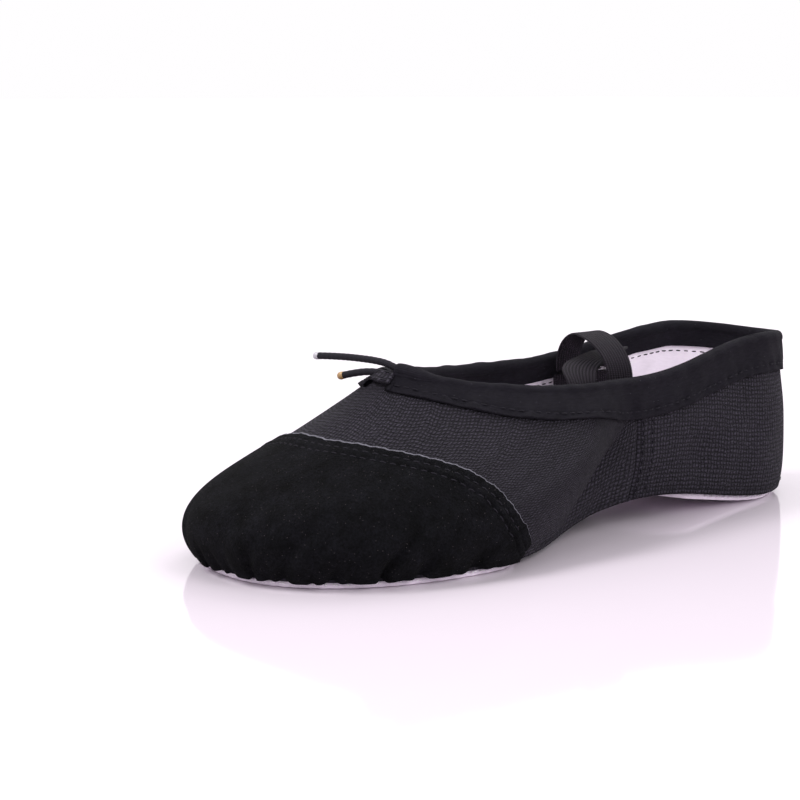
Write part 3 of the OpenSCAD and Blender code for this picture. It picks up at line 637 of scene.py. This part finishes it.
def tinted(n, colour, tone):
    """The colour times a tone that is the same in red, green and blue."""
    grey = n.add("ShaderNodeCombineXYZ", {"X": tone, "Y": tone, "Z": tone}).outputs[0]
    return n.add("ShaderNodeVectorMath", {0: tuple(colour), 1: grey}, operation="MULTIPLY").outputs[0]


def cloth_material(name, colour, threads, depth, contrast, uneven=0.4, lint=0.0, shine=0.1):
    """Woven cloth: the weave in relief, its threads uneven in tone, with painted shade in the hollows of the weave."""
    mat, n, shader = start_material(name)
    uv = n.add("ShaderNodeUVMap", uv_map="cloth").outputs[0]
    weave = n.add("ShaderNodeGroup", node_tree=weave_group())
    n.tree.links.new(uv, weave.inputs["Cloth"])
    weave.inputs["Threads"].default_value = threads
    weave.inputs["Uneven"].default_value = uneven
    place = n.add("ShaderNodeTexCoord").outputs["Object"]
    worn = n.noise(place, 35.0, 4.0)
    # The weave's Shade darkens the hollows between threads as painted shade; the worn noise varies the tone at random.
    tone = n.maths("MULTIPLY", n.spread(weave.outputs["Shade"], 0.0, 1.4, 1 - contrast, 1 + contrast),
                   n.spread(worn, 0.3, 0.7, 0.88, 1.12))
    base = tinted(n, colour, tone)
    if lint:
        specks = n.add("ShaderNodeGroup", node_tree=lint_group())
        n.tree.links.new(place, specks.inputs["Place"])
        specks.inputs["Amount"].default_value = lint
        base = n.mix(n.maths("MULTIPLY", specks.outputs["Specks"], 0.16), base, (0.4, 0.38, 0.44, 1.0))
    n.tree.links.new(base, shader.inputs["Base Color"])
    shader.inputs["Roughness"].default_value = 0.9
    shader.inputs["Specular IOR Level"].default_value = shine
    first = bumped(n, shader, worn, 0.0006, 0.5)
    bumped(n, shader, weave.outputs["Height"], depth, 1.0, first)
    return mat


def suede_material(name, colour, grain, depth, sheen, lint=0.0, patchy=0.95):
    """Suede: a fine uneven nap with brushed patches, and specks of lint."""
    mat, n, shader = start_material(name)
    place = n.add("ShaderNodeTexCoord").outputs["Object"]
    nap = n.noise(place, grain, 5.0, 0.75)
    patch = n.noise(place, 140.0, 5.0, 0.7)
    tone = n.maths("MULTIPLY", n.spread(nap, 0.3, 0.7, 1 - patchy, 1 + patchy),
                   n.spread(patch, 0.3, 0.7, 1 - patchy * 0.8, 1 + patchy))
    base = tinted(n, colour, tone)
    if lint:
        specks = n.add("ShaderNodeGroup", node_tree=lint_group())
        n.tree.links.new(place, specks.inputs["Place"])
        specks.inputs["Amount"].default_value = lint
        base = n.mix(n.maths("MULTIPLY", specks.outputs["Specks"], 0.22), base, (0.3, 0.25, 0.27, 1.0))
    n.tree.links.new(base, shader.inputs["Base Color"])
    shader.inputs["Roughness"].default_value = 0.95
    shader.inputs["Specular IOR Level"].default_value = 0.03
    shader.inputs["Sheen Weight"].default_value = sheen
    shader.inputs["Sheen Roughness"].default_value = 0.6
    first = bumped(n, shader, patch, 0.0012, 0.5)
    bumped(n, shader, nap, depth, 1.0, first)
    return mat


def elastic_material(name, colour):
    """Woven elastic: lengthwise ribs crossed by finer ones, paler on the rib tops and darker in the grooves: painted
    light and shade.
    """
    mat, n, shader = start_material(name)
    uv = n.add("ShaderNodeUVMap", uv_map="cloth").outputs[0]
    parts = n.add("ShaderNodeSeparateXYZ", {"Vector": uv})
    ribs = n.maths("ABSOLUTE", n.maths("SINE", n.maths("MULTIPLY", parts.outputs["Y"], math.pi / 0.0011)))
    cross = n.maths("ABSOLUTE", n.maths("SINE", n.maths("MULTIPLY", parts.outputs["X"], math.pi / 0.0007)))
    height = n.maths("MULTIPLY", n.maths("POWER", ribs, 0.6), n.spread(cross, 0.0, 1.0, 0.55, 1.0))
    fuzz = n.noise(uv, 3500.0, 2.0)
    # Tone follows the ribs' height: painted light on the rib tops and painted shade in the grooves, with random fuzz.
    tone = n.maths("MULTIPLY", n.spread(height, 0.0, 1.0, 0.2, 1.9), n.spread(fuzz, 0.3, 0.7, 0.75, 1.25))
    base = tinted(n, colour, tone)
    n.tree.links.new(base, shader.inputs["Base Color"])
    shader.inputs["Roughness"].default_value = 0.85
    shader.inputs["Specular IOR Level"].default_value = 0.08
    bumped(n, shader, height, 0.0006)
    return mat


def cord_material(name, colour):
    """Braided cord: two sets of strands that cross at a slant, darker between the strands as painted shade."""
    mat, n, shader = start_material(name)
    uv = n.add("ShaderNodeUVMap", uv_map="cloth").outputs[0]
    parts = n.add("ShaderNodeSeparateXYZ", {"Vector": uv})
    turn = n.maths("MULTIPLY", parts.outputs["Y"], 8 * math.pi / (math.pi * 0.0022))
    run = n.maths("MULTIPLY", parts.outputs["X"], math.pi / 0.0009)
    one = n.maths("ABSOLUTE", n.maths("SINE", n.maths("ADD", run, turn)))
    two = n.maths("ABSOLUTE", n.maths("SINE", n.maths("SUBTRACT", run, turn)))
    height = n.maths("MAXIMUM", one, two)
    # Painted shade: tone follows the strands' height, darker where they dip between one another.
    tone = n.spread(height, 0.3, 1.0, 0.5, 1.4)
    base = tinted(n, colour, tone)
    n.tree.links.new(base, shader.inputs["Base Color"])
    shader.inputs["Roughness"].default_value = 0.75
    shader.inputs["Specular IOR Level"].default_value = 0.15
    bumped(n, shader, height, 0.0002)
    return mat


def plain_material(name, colour, rough, coat=0.0):
    mat, n, shader = start_material(name)
    place = n.add("ShaderNodeTexCoord").outputs["Object"]
    grain = n.noise(place, 900.0, 3.0)
    base = n.mix(n.spread(grain, 0.3, 0.7), (*[c * 0.8 for c in colour], 1.0),
                 (*[min(1, c * 1.15) for c in colour], 1.0))
    n.tree.links.new(base, shader.inputs["Base Color"])
    shader.inputs["Roughness"].default_value = rough
    shader.inputs["Coat Weight"].default_value = coat
    bumped(n, shader, grain, 0.0001, 0.6)
    return mat


def material(key):
    """The named finish, made once."""
    name = "Slipper " + key
    if name in bpy.data.materials:
        return bpy.data.materials[name]
    c = bpy.context.scene.slipper_colours
    makers = {
        "canvas": lambda: cloth_material(name, c.canvas, 700.0, 0.0012, uneven=0.35, contrast=0.95, lint=0.5,
                                         shine=0.2),
        "binding": lambda: cloth_material(name, c.binding, 2600.0, 0.0002, contrast=0.5, lint=0.4),
        "lining": lambda: cloth_material(name, c.lining, 2200.0, 0.0001, contrast=0.05, uneven=0.2),
        "suede": lambda: suede_material(name, c.suede, 1400.0, 0.0012, lint=2.0, sheen=0.014),
        "raw edge": lambda: suede_material(name, c.raw_edge, 2600.0, 0.0004, sheen=0.1, patchy=0.4),
        "sole": lambda: suede_material(name, c.sole, 2200.0, 0.0002, sheen=0.1, patchy=0.05),
        "elastic": lambda: elastic_material(name, c.elastic),
        "cord": lambda: cord_material(name, c.binding),
        "thread": lambda: cord_material(name, c.binding),
        "pale thread": lambda: cord_material(name, c.sole),
        # The tips' pale grey and golden brown stand in for the bright rim and the glint on the cord's ends: painted
        # highlights.
        "sealed tip": lambda: plain_material(name, (0.42, 0.40, 0.44), 0.35, 0.3),
        "frayed tip": lambda: plain_material(name, (0.34, 0.20, 0.08), 0.5, 0.2),
        "foam": lambda: plain_material(name, (0.6, 0.58, 0.55), 0.9),
    }
    return makers[key]()


def spaced(a, b, step):
    return np.linspace(a, b, max(2, int(abs(b - a) / step) + 1))


def fitted(obj, body, slot, *nodes, bends=False):
    """Puts a finished piece on its body, in place of its CAD nodes; with bends it bakes the piece's transform into its
    mesh instead of putting it on the body.
    """
    if bends:
        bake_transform(obj)
    else:
        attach(obj, body)
    if nodes:
        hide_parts(*nodes)
    return obj


class SlipperOperator(bpy.types.Operator):
    """Base of the operators that build the slipper."""
    bl_idname = "slipper.base"
    bl_label = "Slipper Piece"
    bl_options = {"REGISTER", "UNDO"}

    def execute(self, context):
        self.build(Shape(context.scene.slipper_sizes), context.scene.slipper_sizes)
        return {"FINISHED"}


class SLIPPER_OT_camera(SlipperOperator):
    """Adds the camera, looking down a little at the outer side and the toe"""
    bl_idname = "slipper.camera"
    bl_label = "Add Camera"

    def build(self, shape, size):
        data = bpy.data.cameras.new("Camera")
        data.sensor_width = 36.0
        data.angle = math.radians(23.44)
        cam = bpy.data.objects.new("Camera", data)
        a, e = math.radians(50.9), math.radians(9.2)
        aim = Vector((-0.0517, -0.0058, 0.0347))
        away = Vector((math.sin(a) * math.cos(e), -math.cos(a) * math.cos(e), math.sin(e)))
        cam.location = aim + 0.654 * away
        cam.rotation_euler = (-away).to_track_quat("-Z", "Y").to_euler()
        bpy.context.scene.collection.objects.link(cam)
        bpy.context.scene.camera = cam


class SLIPPER_OT_free_ends(SlipperOperator):
    """Adds the drawstring's two free ends with their tips, the long one sealed and the short one frayed; the tips'
    pale grey and golden brown are painted highlights
    """
    bl_idname = "slipper.free_ends"
    bl_label = "Add Free Ends"

    def build(self, shape, size):
        parts = (("Long", -1, LONG_ROUTE, "drawstring_long_end", "long_end_tip",
                  "sealed tip", "sealed_tip", "long_end"),
                 ("Short", 1, SHORT_ROUTE, "drawstring_short_end", "short_end_tip",
                  "frayed tip", "frayed_tip", "short_end"))
        for label, level, route, node, tip_node, finish, tip_slot, body in parts:
            path = smooth_path(shape.free_route(level, route))
            run = arc(path, 0) / MM
            radius = size.cord / 2 * (1 + 0.03 * np.sin(run * 3.1))
            cord = sweep("Drawstring " + label, tube_rings(path, radius, 20), [material("cord")])
            fitted(cord, body, "cord", node)
            last, d = path[-1], unit(path[-1] - path[-3])
            s = np.linspace(0, 1, 14)
            grow = size.cord / 2 * (1 + 0.12 * np.sin(s * np.pi)) * (1 - s ** 5) ** 0.5 + 0.02
            tip = sweep("Tip " + label, tube_rings(last + d * (0.02 + TIP_LENGTH * s[:, None]), grow, 16),
                        [material(finish)])
            fitted(tip, body, tip_slot, tip_node)


class SLIPPER_OT_canvas(SlipperOperator):
    """Adds the canvas vamp and the two canvas quarters"""
    bl_idname = "slipper.canvas"
    bl_label = "Add Canvas Upper"

    def build(self, shape, size):
        parts = (("Vamp Canvas", -U_SEAM + SEAM_HALF, U_SEAM - SEAM_HALF, "vamp_canvas", True),
                 ("Outer Quarter", U_SEAM + SEAM_HALF, 0.9995, "outer_quarter", False),
                 ("Inner Quarter", -0.9995, -U_SEAM - SEAM_HALF, "inner_quarter", False))
        for name, start, stop, node, bends in parts:
            u = spaced(start, stop, 0.0028)
            s = shape.strips(u)
            top = shape.v_below(s, np.full((len(u), 1), shape.canvas_top))
            v = np.linspace(0, 1, 64)[None] * top
            bump = shape.relief(u[:, None], v)
            bump = bump - shape.seam_tuck(u[:, None])
            obj = layer(name, shape.lift(s, v, bump), shape.lift(s, v, bump - size.canvas),
                        [material("canvas")])
            fitted(obj, "heel", "canvas", node, bends=bends)
            shape.lift(s, v, 0.0)
        u = spaced(-0.03, 0.03, 0.002)
        s = shape.strips(u)
        d = np.linspace(4.5, 0, 20)[None] + 2.2 + 0.25 * np.sin(u * 90)[:, None]
        puff = 0.25 * np.sin(np.linspace(0, np.pi, len(u)))[:, None]
        tab = layer("Throat Tab", shape.from_top(s, d, shape.binding_out + 0.9 + puff),
                    shape.from_top(s, d, shape.binding_out + 0.2 + puff), [material("canvas")])
        fitted(tab, "forefoot", "canvas", "throat_tab")


class SLIPPER_OT_lining(SlipperOperator):
    """Adds the cotton lining of the vamp and the quarters"""
    bl_idname = "slipper.lining"
    bl_label = "Add Lining"

    def build(self, shape, size):
        parts = (("Vamp Lining", -U_SEAM + SEAM_HALF, U_SEAM - SEAM_HALF, "vamp_lining", True),
                 ("Outer Quarter Lining", U_SEAM + SEAM_HALF, 0.9995, "outer_quarter_lining", False),
                 ("Inner Quarter Lining", -0.9995, -U_SEAM - SEAM_HALF, "inner_quarter_lining", False))
        for name, start, stop, node, bends in parts:
            u = spaced(start, stop, 0.005)
            s = shape.strips(u)
            top = shape.v_below(s, np.full((len(u), 1), shape.canvas_top))
            v = np.linspace(0, 1, 44)[None] * top
            bump = 0.6 * shape.relief(u[:, None], v) + 0.15 * np.sin(61 * u[:, None]) * np.sin(14 * v)
            bump = np.minimum(bump, 0.05 + shape.relief(u[:, None], v)) - shape.seam_tuck(u[:, None])
            obj = layer(name, shape.lift(s, v, shape.lining_out + bump),
                        shape.lift(s, v, shape.lining_in + bump),
                        [material("lining")])
            fitted(obj, "heel", "cotton_lining", node, bends=bends)
            shape.lift(s, v, 0.0)


class SLIPPER_OT_toe_cap(SlipperOperator):
    """Adds the suede toe cap with its raw cut edge"""
    bl_idname = "slipper.toe_cap"
    bl_label = "Add Toe Cap"

    def build(self, shape, size):
        u = spaced(*U_CAP, 0.0018)
        s = shape.strips(u)
        jag = 0.0015 * np.sin(260 * u) + 0.001 * np.sin(610 * u + 1)
        edge = np.maximum(0.12, shape.cap_edge(u)) + jag
        v = np.append(np.linspace(0, 0.994, 91), 1.0)[None] * edge[:, None]
        down = (edge[:, None] - v) * np.linalg.norm(heading(s[0], edge[:, None]), axis=-1)
        puff = 0.22 * np.exp(-((down - 4.5) / 0.9) ** 2) - 0.3 * np.exp(-((down - 3) / 0.45) ** 2)
        puff = puff - 0.3 * np.exp(-((down - 6) / 0.45) ** 2)
        bump = shape.relief(u[:, None], v)
        outer = shape.lift(s, v, shape.cap_out + bump + puff * np.clip(v / 0.1, 0, 1))
        obj = layer("Toe Cap", outer, shape.lift(s, v, 0.15 + bump),
                    [material("suede"), material("raw edge")], edge=True)
        fitted(obj, "forefoot", "black_suede", "toe_cap")
        shape.lift(s, v, 0.0)


def binding_section(shape, size, extra, depth):
    """The binding's section for every place: outer leg, round casing, inner leg, then back inside,
    as distances down and offsets out, with a mark of 1 on the faces that show."""
    r, t = shape.bead + extra, shape.tunnel + extra
    c = shape.bead_d - extra * 0.6
    low = c + r * 0.34
    one = np.ones_like(extra)

    def leg(start, stop, off, count, shown):
        k = np.linspace(0, 1, count)[None]
        return start + (stop - start) * k, off * one * np.ones((1, count)), shown * np.ones((1, count)) * one

    def turn(radius, start, stop, count, shown):
        k = np.radians(np.linspace(start, stop, count))[None]
        return c - radius * np.sin(k), shape.bead_o + radius * np.cos(k), shown * np.ones((1, count)) * one

    inner = size.binding_inner * one
    parts = [leg(depth, low + 0.6, shape.binding_out, 22, 1), turn(r, -20, 200, 30, 1),
             leg(low + 0.6, inner, shape.binding_in, 12, 1), leg(inner, low + 0.6, shape.binding_back, 6, 0),
             turn(t, 200, -20, 16, 0), leg(low + 0.6, depth, size.layer_gap, 8, 0)]
    return [np.concatenate([p[k] for p in parts], 1) for k in range(3)]


class SLIPPER_OT_binding(SlipperOperator):
    """Adds the binding round the topline, which is also the drawstring's casing"""
    bl_idname = "slipper.binding"
    bl_label = "Add Binding"

    def build(self, shape, size):
        u = np.concatenate([[shape.mouth_u], spaced(0.028, 2 - 0.028, 0.0025), [2 - shape.mouth_u]])
        near = np.where(u <= 1, u, u - 2)
        s = shape.strips(near)
        depth = shape.binding_depth(near)[:, None]
        d, o, shown = binding_section(shape, size, shape.flare(s, near)[:, None], depth)
        run = arc(along(s[0], np.ones((len(u), 1)))[:, 0], 0)[:, None] / MM
        pucker = 0.16 * np.sin(run * 1.15 + 2 * np.sin(run * 0.13)) * np.exp(-((d - depth + 2.4) / 2.2) ** 2)
        wave = (0.2 * np.sin(run * 0.37 + 0.3 * d + 1.5 * np.sin(run * 0.06))
                + 0.1 * np.sin(run * 0.8 - 0.5 * d))
        row = -0.22 * np.exp(-((d - depth + 2.4) / 0.5) ** 2)
        outside = np.where(o > 0, 1.0, -0.6)
        bump = shape.relief(near[:, None], shape.v_below(s, np.maximum(d, 0)))
        points = shape.from_top(s, d, o + bump + shown * outside * (pucker + wave + row))
        obj = sweep("Binding", points, [material("binding")])
        fitted(obj, "heel", "binding_cloth", "topline_binding", bends=True)
        v = spaced(shape.mouth_u + 0.1, 2 - shape.mouth_u - 0.004, 0.012)
        path = shape.casing_middle(v)
        cord = sweep("Drawstring", tube_rings(path, size.cord / 2, 12, (0.0, 0.0, 1.0)), [material("cord")])
        fitted(cord, "heel", "cord", "drawstring", bends=True)


def strap_path(shape, ys, rise, count=170):
    """Centre line of a strap and the direction of its width at each point: legs up from the sewn
    ends, flush with the walls, then a flat arch that turns across the slipper."""
    c = np.cos(np.radians(np.linspace(0, 180, count)))
    f = 0.5 - 0.5 * np.abs(c) ** 0.8 * np.sign(c)
    x0, x1 = shape.wall_x(ys[0]), -shape.wall_x(ys[1])
    p = np.stack([x0 + (x1 - x0) * f + shape.shift, ys[0] + (ys[1] - ys[0]) * (0.4 * f + 0.6 * ease(0, 1, f)),
                  shape.pivot_z + rise * (1 - c * c).clip(0) ** 0.375], -1)
    legs = np.linspace(0.8, 0.3, 3)[:, None] * [0, 0, -1.0]
    p = np.concatenate([p[0] + legs, p, p[-1] + legs[::-1]])
    tan = unit(np.gradient(p, axis=0))
    side = unit(np.array([0.0, 1.0, 0.0]) - tan[:, 1:2] * tan)
    return p, side, np.cross(side, tan)


def strap_rings(size, p, side, up):
    """Closed sections of ribbed elastic along a path."""
    x = np.concatenate([np.linspace(-1, 1, 45), np.linspace(1, -1, 45)])
    face = np.concatenate([np.ones(45), -np.ones(45)])
    thick = size.strap / 2 * (1 - np.abs(x) ** 14 * 0.6) * (0.85 + 0.15 * np.abs(np.sin(x * 5 * np.pi)))
    return (p[:, None] + (x * size.strap_width / 2)[None, :, None] * side[:, None]
            + (face * thick)[None, :, None] * up[:, None])


class SLIPPER_OT_straps(SlipperOperator):
    """Adds the two crossed elastic straps and their sewn ends"""
    bl_idname = "slipper.straps"
    bl_label = "Add Straps"

    def build(self, shape, size):
        for label, ys, rise, body in (("Front", FRONT_STRAP_Y, size.front_rise, "front_strap"),
                                      ("Rear", REAR_STRAP_Y, size.rear_rise, "rear_strap")):
            p, side, up = strap_path(shape, ys, rise)
            obj = sweep(label + " Strap", strap_rings(size, p, side, up), [material("elastic")])
            fitted(obj, body, "elastic", body)
            ends = []
            for hand, y in ((1, ys[0]), (-1, ys[1])):
                x = hand * (shape.wall_x(y) + size.strap + size.layer_gap) + shape.shift
                z = shape.pivot_z - TAB_BELOW - np.linspace(size.strap_tab, 0, 24)
                q = np.stack([np.full(24, x), np.full(24, y), z], -1)
                flat = np.tile([0.0, 1.0, 0.0], (24, 1))
                ends.append(sweep(f"{label} Strap End {'A' if hand > 0 else 'B'}",
                                  strap_rings(size, q, flat, np.tile([float(-hand), 0, 0], (24, 1))),
                                  [material("elastic")]))
            for end in ends:
                fitted(end, "heel", "elastic", body + "_ends")


def patch_outline(shape, size, inset, length, fore):
    """Outline of one sole patch on the floor, as a closed loop of points."""
    a = np.linspace(0, 1, 400)
    d = shape.sole_line(a + NEAR) - shape.sole_line(a - NEAR)
    line = shape.sole_line(a) - inset * unit(np.stack([d[:, 1], -d[:, 0]], -1))
    t = np.radians(np.linspace(2, 90, 40))[:, None]
    if fore:
        kept = line[line[:, 1] < length - 24]
        last = kept[-1]
        tail = np.concatenate([last[0] * np.cos(t), last[1] + (length - last[1]) * np.sin(t)], 1)
        half = np.concatenate([kept, tail])
    else:
        start = size.length - HEEL_IN - length
        kept = line[line[:, 1] > start + 14]
        first = kept[0]
        tail = np.concatenate([first[0] * np.cos(t), first[1] - (first[1] - start) * np.sin(t)], 1)[::-1]
        half = np.concatenate([tail, kept])
    right, left = shape.place(1, half, 0.0), shape.place(-1, half, 0.0)
    loop = np.concatenate([right, left[::-1][1:-1]])
    keep = np.linalg.norm(loop - np.roll(loop, 1, 0), axis=-1) > 0.05
    return loop[keep]


class SLIPPER_OT_soles(SlipperOperator):
    """Adds the two suede sole patches, their pads, the bottom canvas and the sock lining"""
    bl_idname = "slipper.soles"
    bl_label = "Add Soles"

    def slab(self, shape, name, loop, low, high, finish, crown=0.0):
        """A patch that follows the arch, with rounded edges: rings that shrink towards the middle.
        A crown makes its top fuller away from the edge."""
        middle = loop.mean(0)
        inward = unit(middle - loop)
        pulls = (0.97, 0.8, 0.6, 0.45, 0.3, 0.18)
        z = ([(k, low) for k in pulls] + [(0.05, low), (0.0, low + 0.12), (-0.12, (low + high) / 2),
             (0.0, high - 0.12), (0.08, high)] + [(k, high + crown * min(1, 2 * k)) for k in pulls[::-1]])
        wave = 0.12 * np.sin(np.arange(len(loop)) * 0.9)[:, None]
        rings = []
        for k, (pull, height) in enumerate(z):
            if pull >= 0.15:
                ring = loop + (middle - loop) * pull
            else:
                ring = loop + inward * (pull * 3 + wave * (height < high))
            ring = ring.copy()
            ring[:, 2] = height + shape.arch(ring[:, 1] + shape.z.length / 2)
            rings.append(ring)
        return sweep(name, np.array(rings), [material(finish)])

    def build(self, shape, size):
        pad_z = shape.fore_base + size.canvas + 0.2
        for label, fore, inset, length, pad_length, body in (
                ("Forefoot", True, 2.0, size.fore_patch, size.fore_patch - 8, "forefoot"),
                ("Heel", False, 3.0, size.heel_patch, size.heel_pad, "heel")):
            loop = patch_outline(shape, size, inset, length, fore)
            sole = self.slab(shape, label + " Sole", loop, 0.0, size.sole, "sole")
            fitted(sole, body, "sole_suede", body + "_sole")
            loop = patch_outline(shape, size, 5.0, pad_length, fore)
            pad = self.slab(shape, label + " Pad", loop, pad_z, pad_z + size.pad - 0.2, "foam", 0.2)
            fitted(pad, body, "foam", body + "_pad")
        for name, inset, low, thick, finish, slot, node in (
                ("Bottom Canvas", 0.3, shape.fore_base - 0.1, size.canvas, "canvas", "canvas", "bottom_canvas"),
                ("Sock Lining", 1.6, pad_z + size.pad + 0.2, 0.5, "lining", "cotton_lining", "sock_lining")):
            a = np.linspace(0.012, 0.988, 160)
            d = shape.sole_line(a + NEAR) - shape.sole_line(a - NEAR)
            half = shape.sole_line(a) - inset * unit(np.stack([d[:, 1], -d[:, 0]], -1))
            across = np.linspace(1, -1, 25)
            rows = np.stack([shape.place(k, half, low + shape.arch(half[:, 1])) for k in across], 1)
            obj = layer(name, rows + [0, 0, thick], rows, [material(finish)])
            fitted(obj, "heel", slot, node, bends=True)


class SLIPPER_OT_stitching(SlipperOperator):
    """Adds every row of stitches"""
    bl_idname = "slipper.stitching"
    bl_label = "Add Stitching"

    def build(self, shape, size):
        thread = material("thread")
        u = spaced(-0.26, 0.34, 0.002)
        s = shape.strips(u)
        edge = shape.cap_edge(u)[:, None]
        reach = np.linalg.norm(heading(s[0], edge), axis=-1)
        rows = [row_on(shape, u, np.maximum(0.03, (edge - back / reach)[:, 0]), shape.cap_out - 0.2)
                for back in (3, 6)]
        fitted(stitches("Toe Cap Stitching", rows, size, thread), "forefoot", "thread", "toe_cap_stitching")
        u = spaced(0.036, 0.984, 0.003)
        rows = []
        for side in (-1, 1):
            s = shape.strips(side * u)
            d = (shape.binding_depth(u) - 2.4)[:, None]
            rows.append(row_on(shape, side * u, shape.v_below(s, d)[:, 0], shape.binding_out - 0.12))
            low = shape.v_below(s, np.full((len(u), 1), size.binding_inner + 2))
            points, outward = row_on(shape, side * u, low[:, 0], shape.lining_in)
            rows.append((points, -outward))
        obj = stitches("Binding Stitching", rows, size, thread)
        fitted(obj, "heel", "thread", "binding_stitching", bends=True)
        v = np.linspace(0.05, 0.68, 60)
        rows = [row_on(shape, np.full(60, side * (U_SEAM + off)), v, 0.05)
                for side in (-1, 1) for off in (0.009, 0.026)]
        fitted(stitches("Side Seam Stitching", rows, size, thread), "heel", "thread", "side_seam_stitching")
        rows = [row_on(shape, np.full(60, side * 0.975), v, 0.05) for side in (-1, 1)]
        fitted(stitches("Back Seam Stitching", rows, size, thread), "heel", "thread", "back_seam_stitching")
        u = spaced(0.42, 0.97, 0.003)
        rows = [row_on(shape, side * u, np.full(len(u), 0.045), 0.0) for side in (-1, 1)]
        obj = stitches("Feather Stitching", rows, size, thread)
        fitted(obj, "heel", "thread", "feather_stitching", bends=True)
        up = np.array([0.0, 0.0, 1.0])
        patches = (("Forefoot", "forefoot", 0.02, 0.35, 1.3), ("Heel", "heel", 0.75, 0.98, 2.3))
        for label, body, start, stop, inset in patches:
            a = np.linspace(start, stop, 90)
            d = shape.sole_line(a + NEAR) - shape.sole_line(a - NEAR)
            half = shape.sole_line(a) - inset * unit(np.stack([d[:, 1], -d[:, 0]], -1))
            rows = [(shape.place(side, half, 1.2 + shape.arch(half[:, 1])), np.tile(up, (90, 1)))
                    for side in (-1, 1)]
            obj = stitches(label + " Sole Stitching", rows, size, material("pale thread"))
            fitted(obj, body, "thread", body + "_sole_stitching")
        rows = []
        for ys in (FRONT_STRAP_Y, REAR_STRAP_Y):
            for hand, y in ((1, ys[0]), (-1, ys[1])):
                x = hand * (shape.wall_x(y) + size.strap / 2 + size.layer_gap - 0.1) + shape.shift
                for row in range(3):
                    z = shape.pivot_z - TAB_BELOW - size.strap_tab + 1.5 + row * 3
                    line = np.stack([np.full(20, x), y + np.linspace(-4.6, 4.6, 20), np.full(20, z)], -1)
                    rows.append((line, np.tile([-float(hand), 0.0, 0.0], (20, 1))))
        fitted(stitches("Strap Stitching", rows, size, thread), "heel", "thread", "strap_stitching")
        u = np.linspace(-0.026, 0.026, 30)
        s = shape.strips(u)
        rows = []
        for d in (2.9, 6.2):
            p = shape.from_top(s, np.full((30, 1), d), shape.binding_out + 1.2)[:, 0]
            rows.append((p, shape.normal(s, shape.v_below(s, np.full((30, 1), d)))[:, 0]))
        fitted(stitches("Throat Bartack", rows, size, thread), "forefoot", "thread", "throat_bartack")


class SLIPPER_OT_stage(SlipperOperator):
    """Adds the floor, a white world and the studio lights"""
    bl_idname = "slipper.stage"
    bl_label = "Add Studio"

    def build(self, shape, size):
        c = bpy.context.scene.slipper_colours
        reach = np.linspace(-20000, 20000, 9)
        grid = np.stack([*np.meshgrid(reach, reach, indexing="ij"), np.full((9, 9), -0.15)], -1)
        mat, n, shader = start_material("Studio Floor")
        shader.inputs["Base Color"].default_value = (*c.floor, 1.0)
        # Painted light: the floor glows more with distance from the slipper, so it is darker near the slipper (painted
        # shade) and white far away.
        away = n.add("ShaderNodeVectorMath", {0: n.add("ShaderNodeTexCoord").outputs["Object"]}, operation="LENGTH")
        painted_glow = n.spread(away.outputs["Value"], 0.35, 1.6, 0.0, 0.45)
        shade = n.add("ShaderNodeCombineXYZ", {"X": painted_glow, "Y": painted_glow, "Z": painted_glow}).outputs[0]
        n.tree.links.new(shade, shader.inputs["Emission Color"])
        shader.inputs["Emission Strength"].default_value = 1.0
        shader.inputs["Roughness"].default_value = 0.08
        shader.inputs["Specular IOR Level"].default_value = 0.5
        floor = make_piece("Studio Floor", grid.reshape(-1, 3), quads(9, 9),
                           grid_uv(grid).reshape(-1, 2)[quads(9, 9)],
                           [mat])
        world = bpy.data.worlds.new("Studio")
        world.use_nodes = True
        world.node_tree.nodes["Background"].inputs["Color"].default_value = (1.0, 0.99, 1.0, 1.0)
        world.node_tree.nodes["Background"].inputs["Strength"].default_value = 1.0
        bpy.context.scene.world = world
        lights = (("Key", (-0.5, -0.9, 1.4), 0.6, 20.0), ("Side", (1.3, 0.3, 1.0), 0.9, 10.0),
                  ("Back", (-0.6, 1.4, 1.3), 1.2, 16.0))
        for name, place, width, power in lights:
            data = bpy.data.lights.new(name, "AREA")
            data.shape = "SQUARE"
            data.size = width
            data.energy = power
            light = bpy.data.objects.new(name, data)
            light.location = place
            light.rotation_euler = (Vector((0, 0, 0.03)) - Vector(place)).to_track_quat("-Z", "Y").to_euler()
            bpy.context.scene.collection.objects.link(light)
        bpy.context.scene.view_settings.view_transform = "Standard"


OPERATORS = (SLIPPER_OT_camera, SLIPPER_OT_free_ends, SLIPPER_OT_canvas, SLIPPER_OT_lining, SLIPPER_OT_toe_cap,
             SLIPPER_OT_binding, SLIPPER_OT_straps, SLIPPER_OT_soles, SLIPPER_OT_stitching, SLIPPER_OT_stage)


class SLIPPER_PT_panel(bpy.types.Panel):
    """Sizes, colours and one button for each group of pieces"""
    bl_idname = "SLIPPER_PT_panel"
    bl_label = "Ballet Slipper"
    bl_space_type = "VIEW_3D"
    bl_region_type = "UI"
    bl_category = "Slipper"

    def draw(self, context):
        for group in (context.scene.slipper_sizes, context.scene.slipper_colours):
            box = self.layout.box()
            for key in group.__annotations__:
                box.prop(group, key)
        for op in OPERATORS:
            self.layout.operator(op.bl_idname)


CLASSES = (SlipperSizes, SlipperColours) + OPERATORS + (SLIPPER_PT_panel,)


def register():
    for cls in CLASSES:
        bpy.utils.register_class(cls)
    bpy.types.Scene.slipper_sizes = PointerProperty(type=SlipperSizes)
    bpy.types.Scene.slipper_colours = PointerProperty(type=SlipperColours)


def unregister():
    del bpy.types.Scene.slipper_colours
    del bpy.types.Scene.slipper_sizes
    for cls in reversed(CLASSES):
        bpy.utils.unregister_class(cls)


def main():
    register()
    for op in OPERATORS:
        group, name = op.bl_idname.split(".")
        getattr(getattr(bpy.ops, group), name)()


if __name__ == "__main__":
    main()
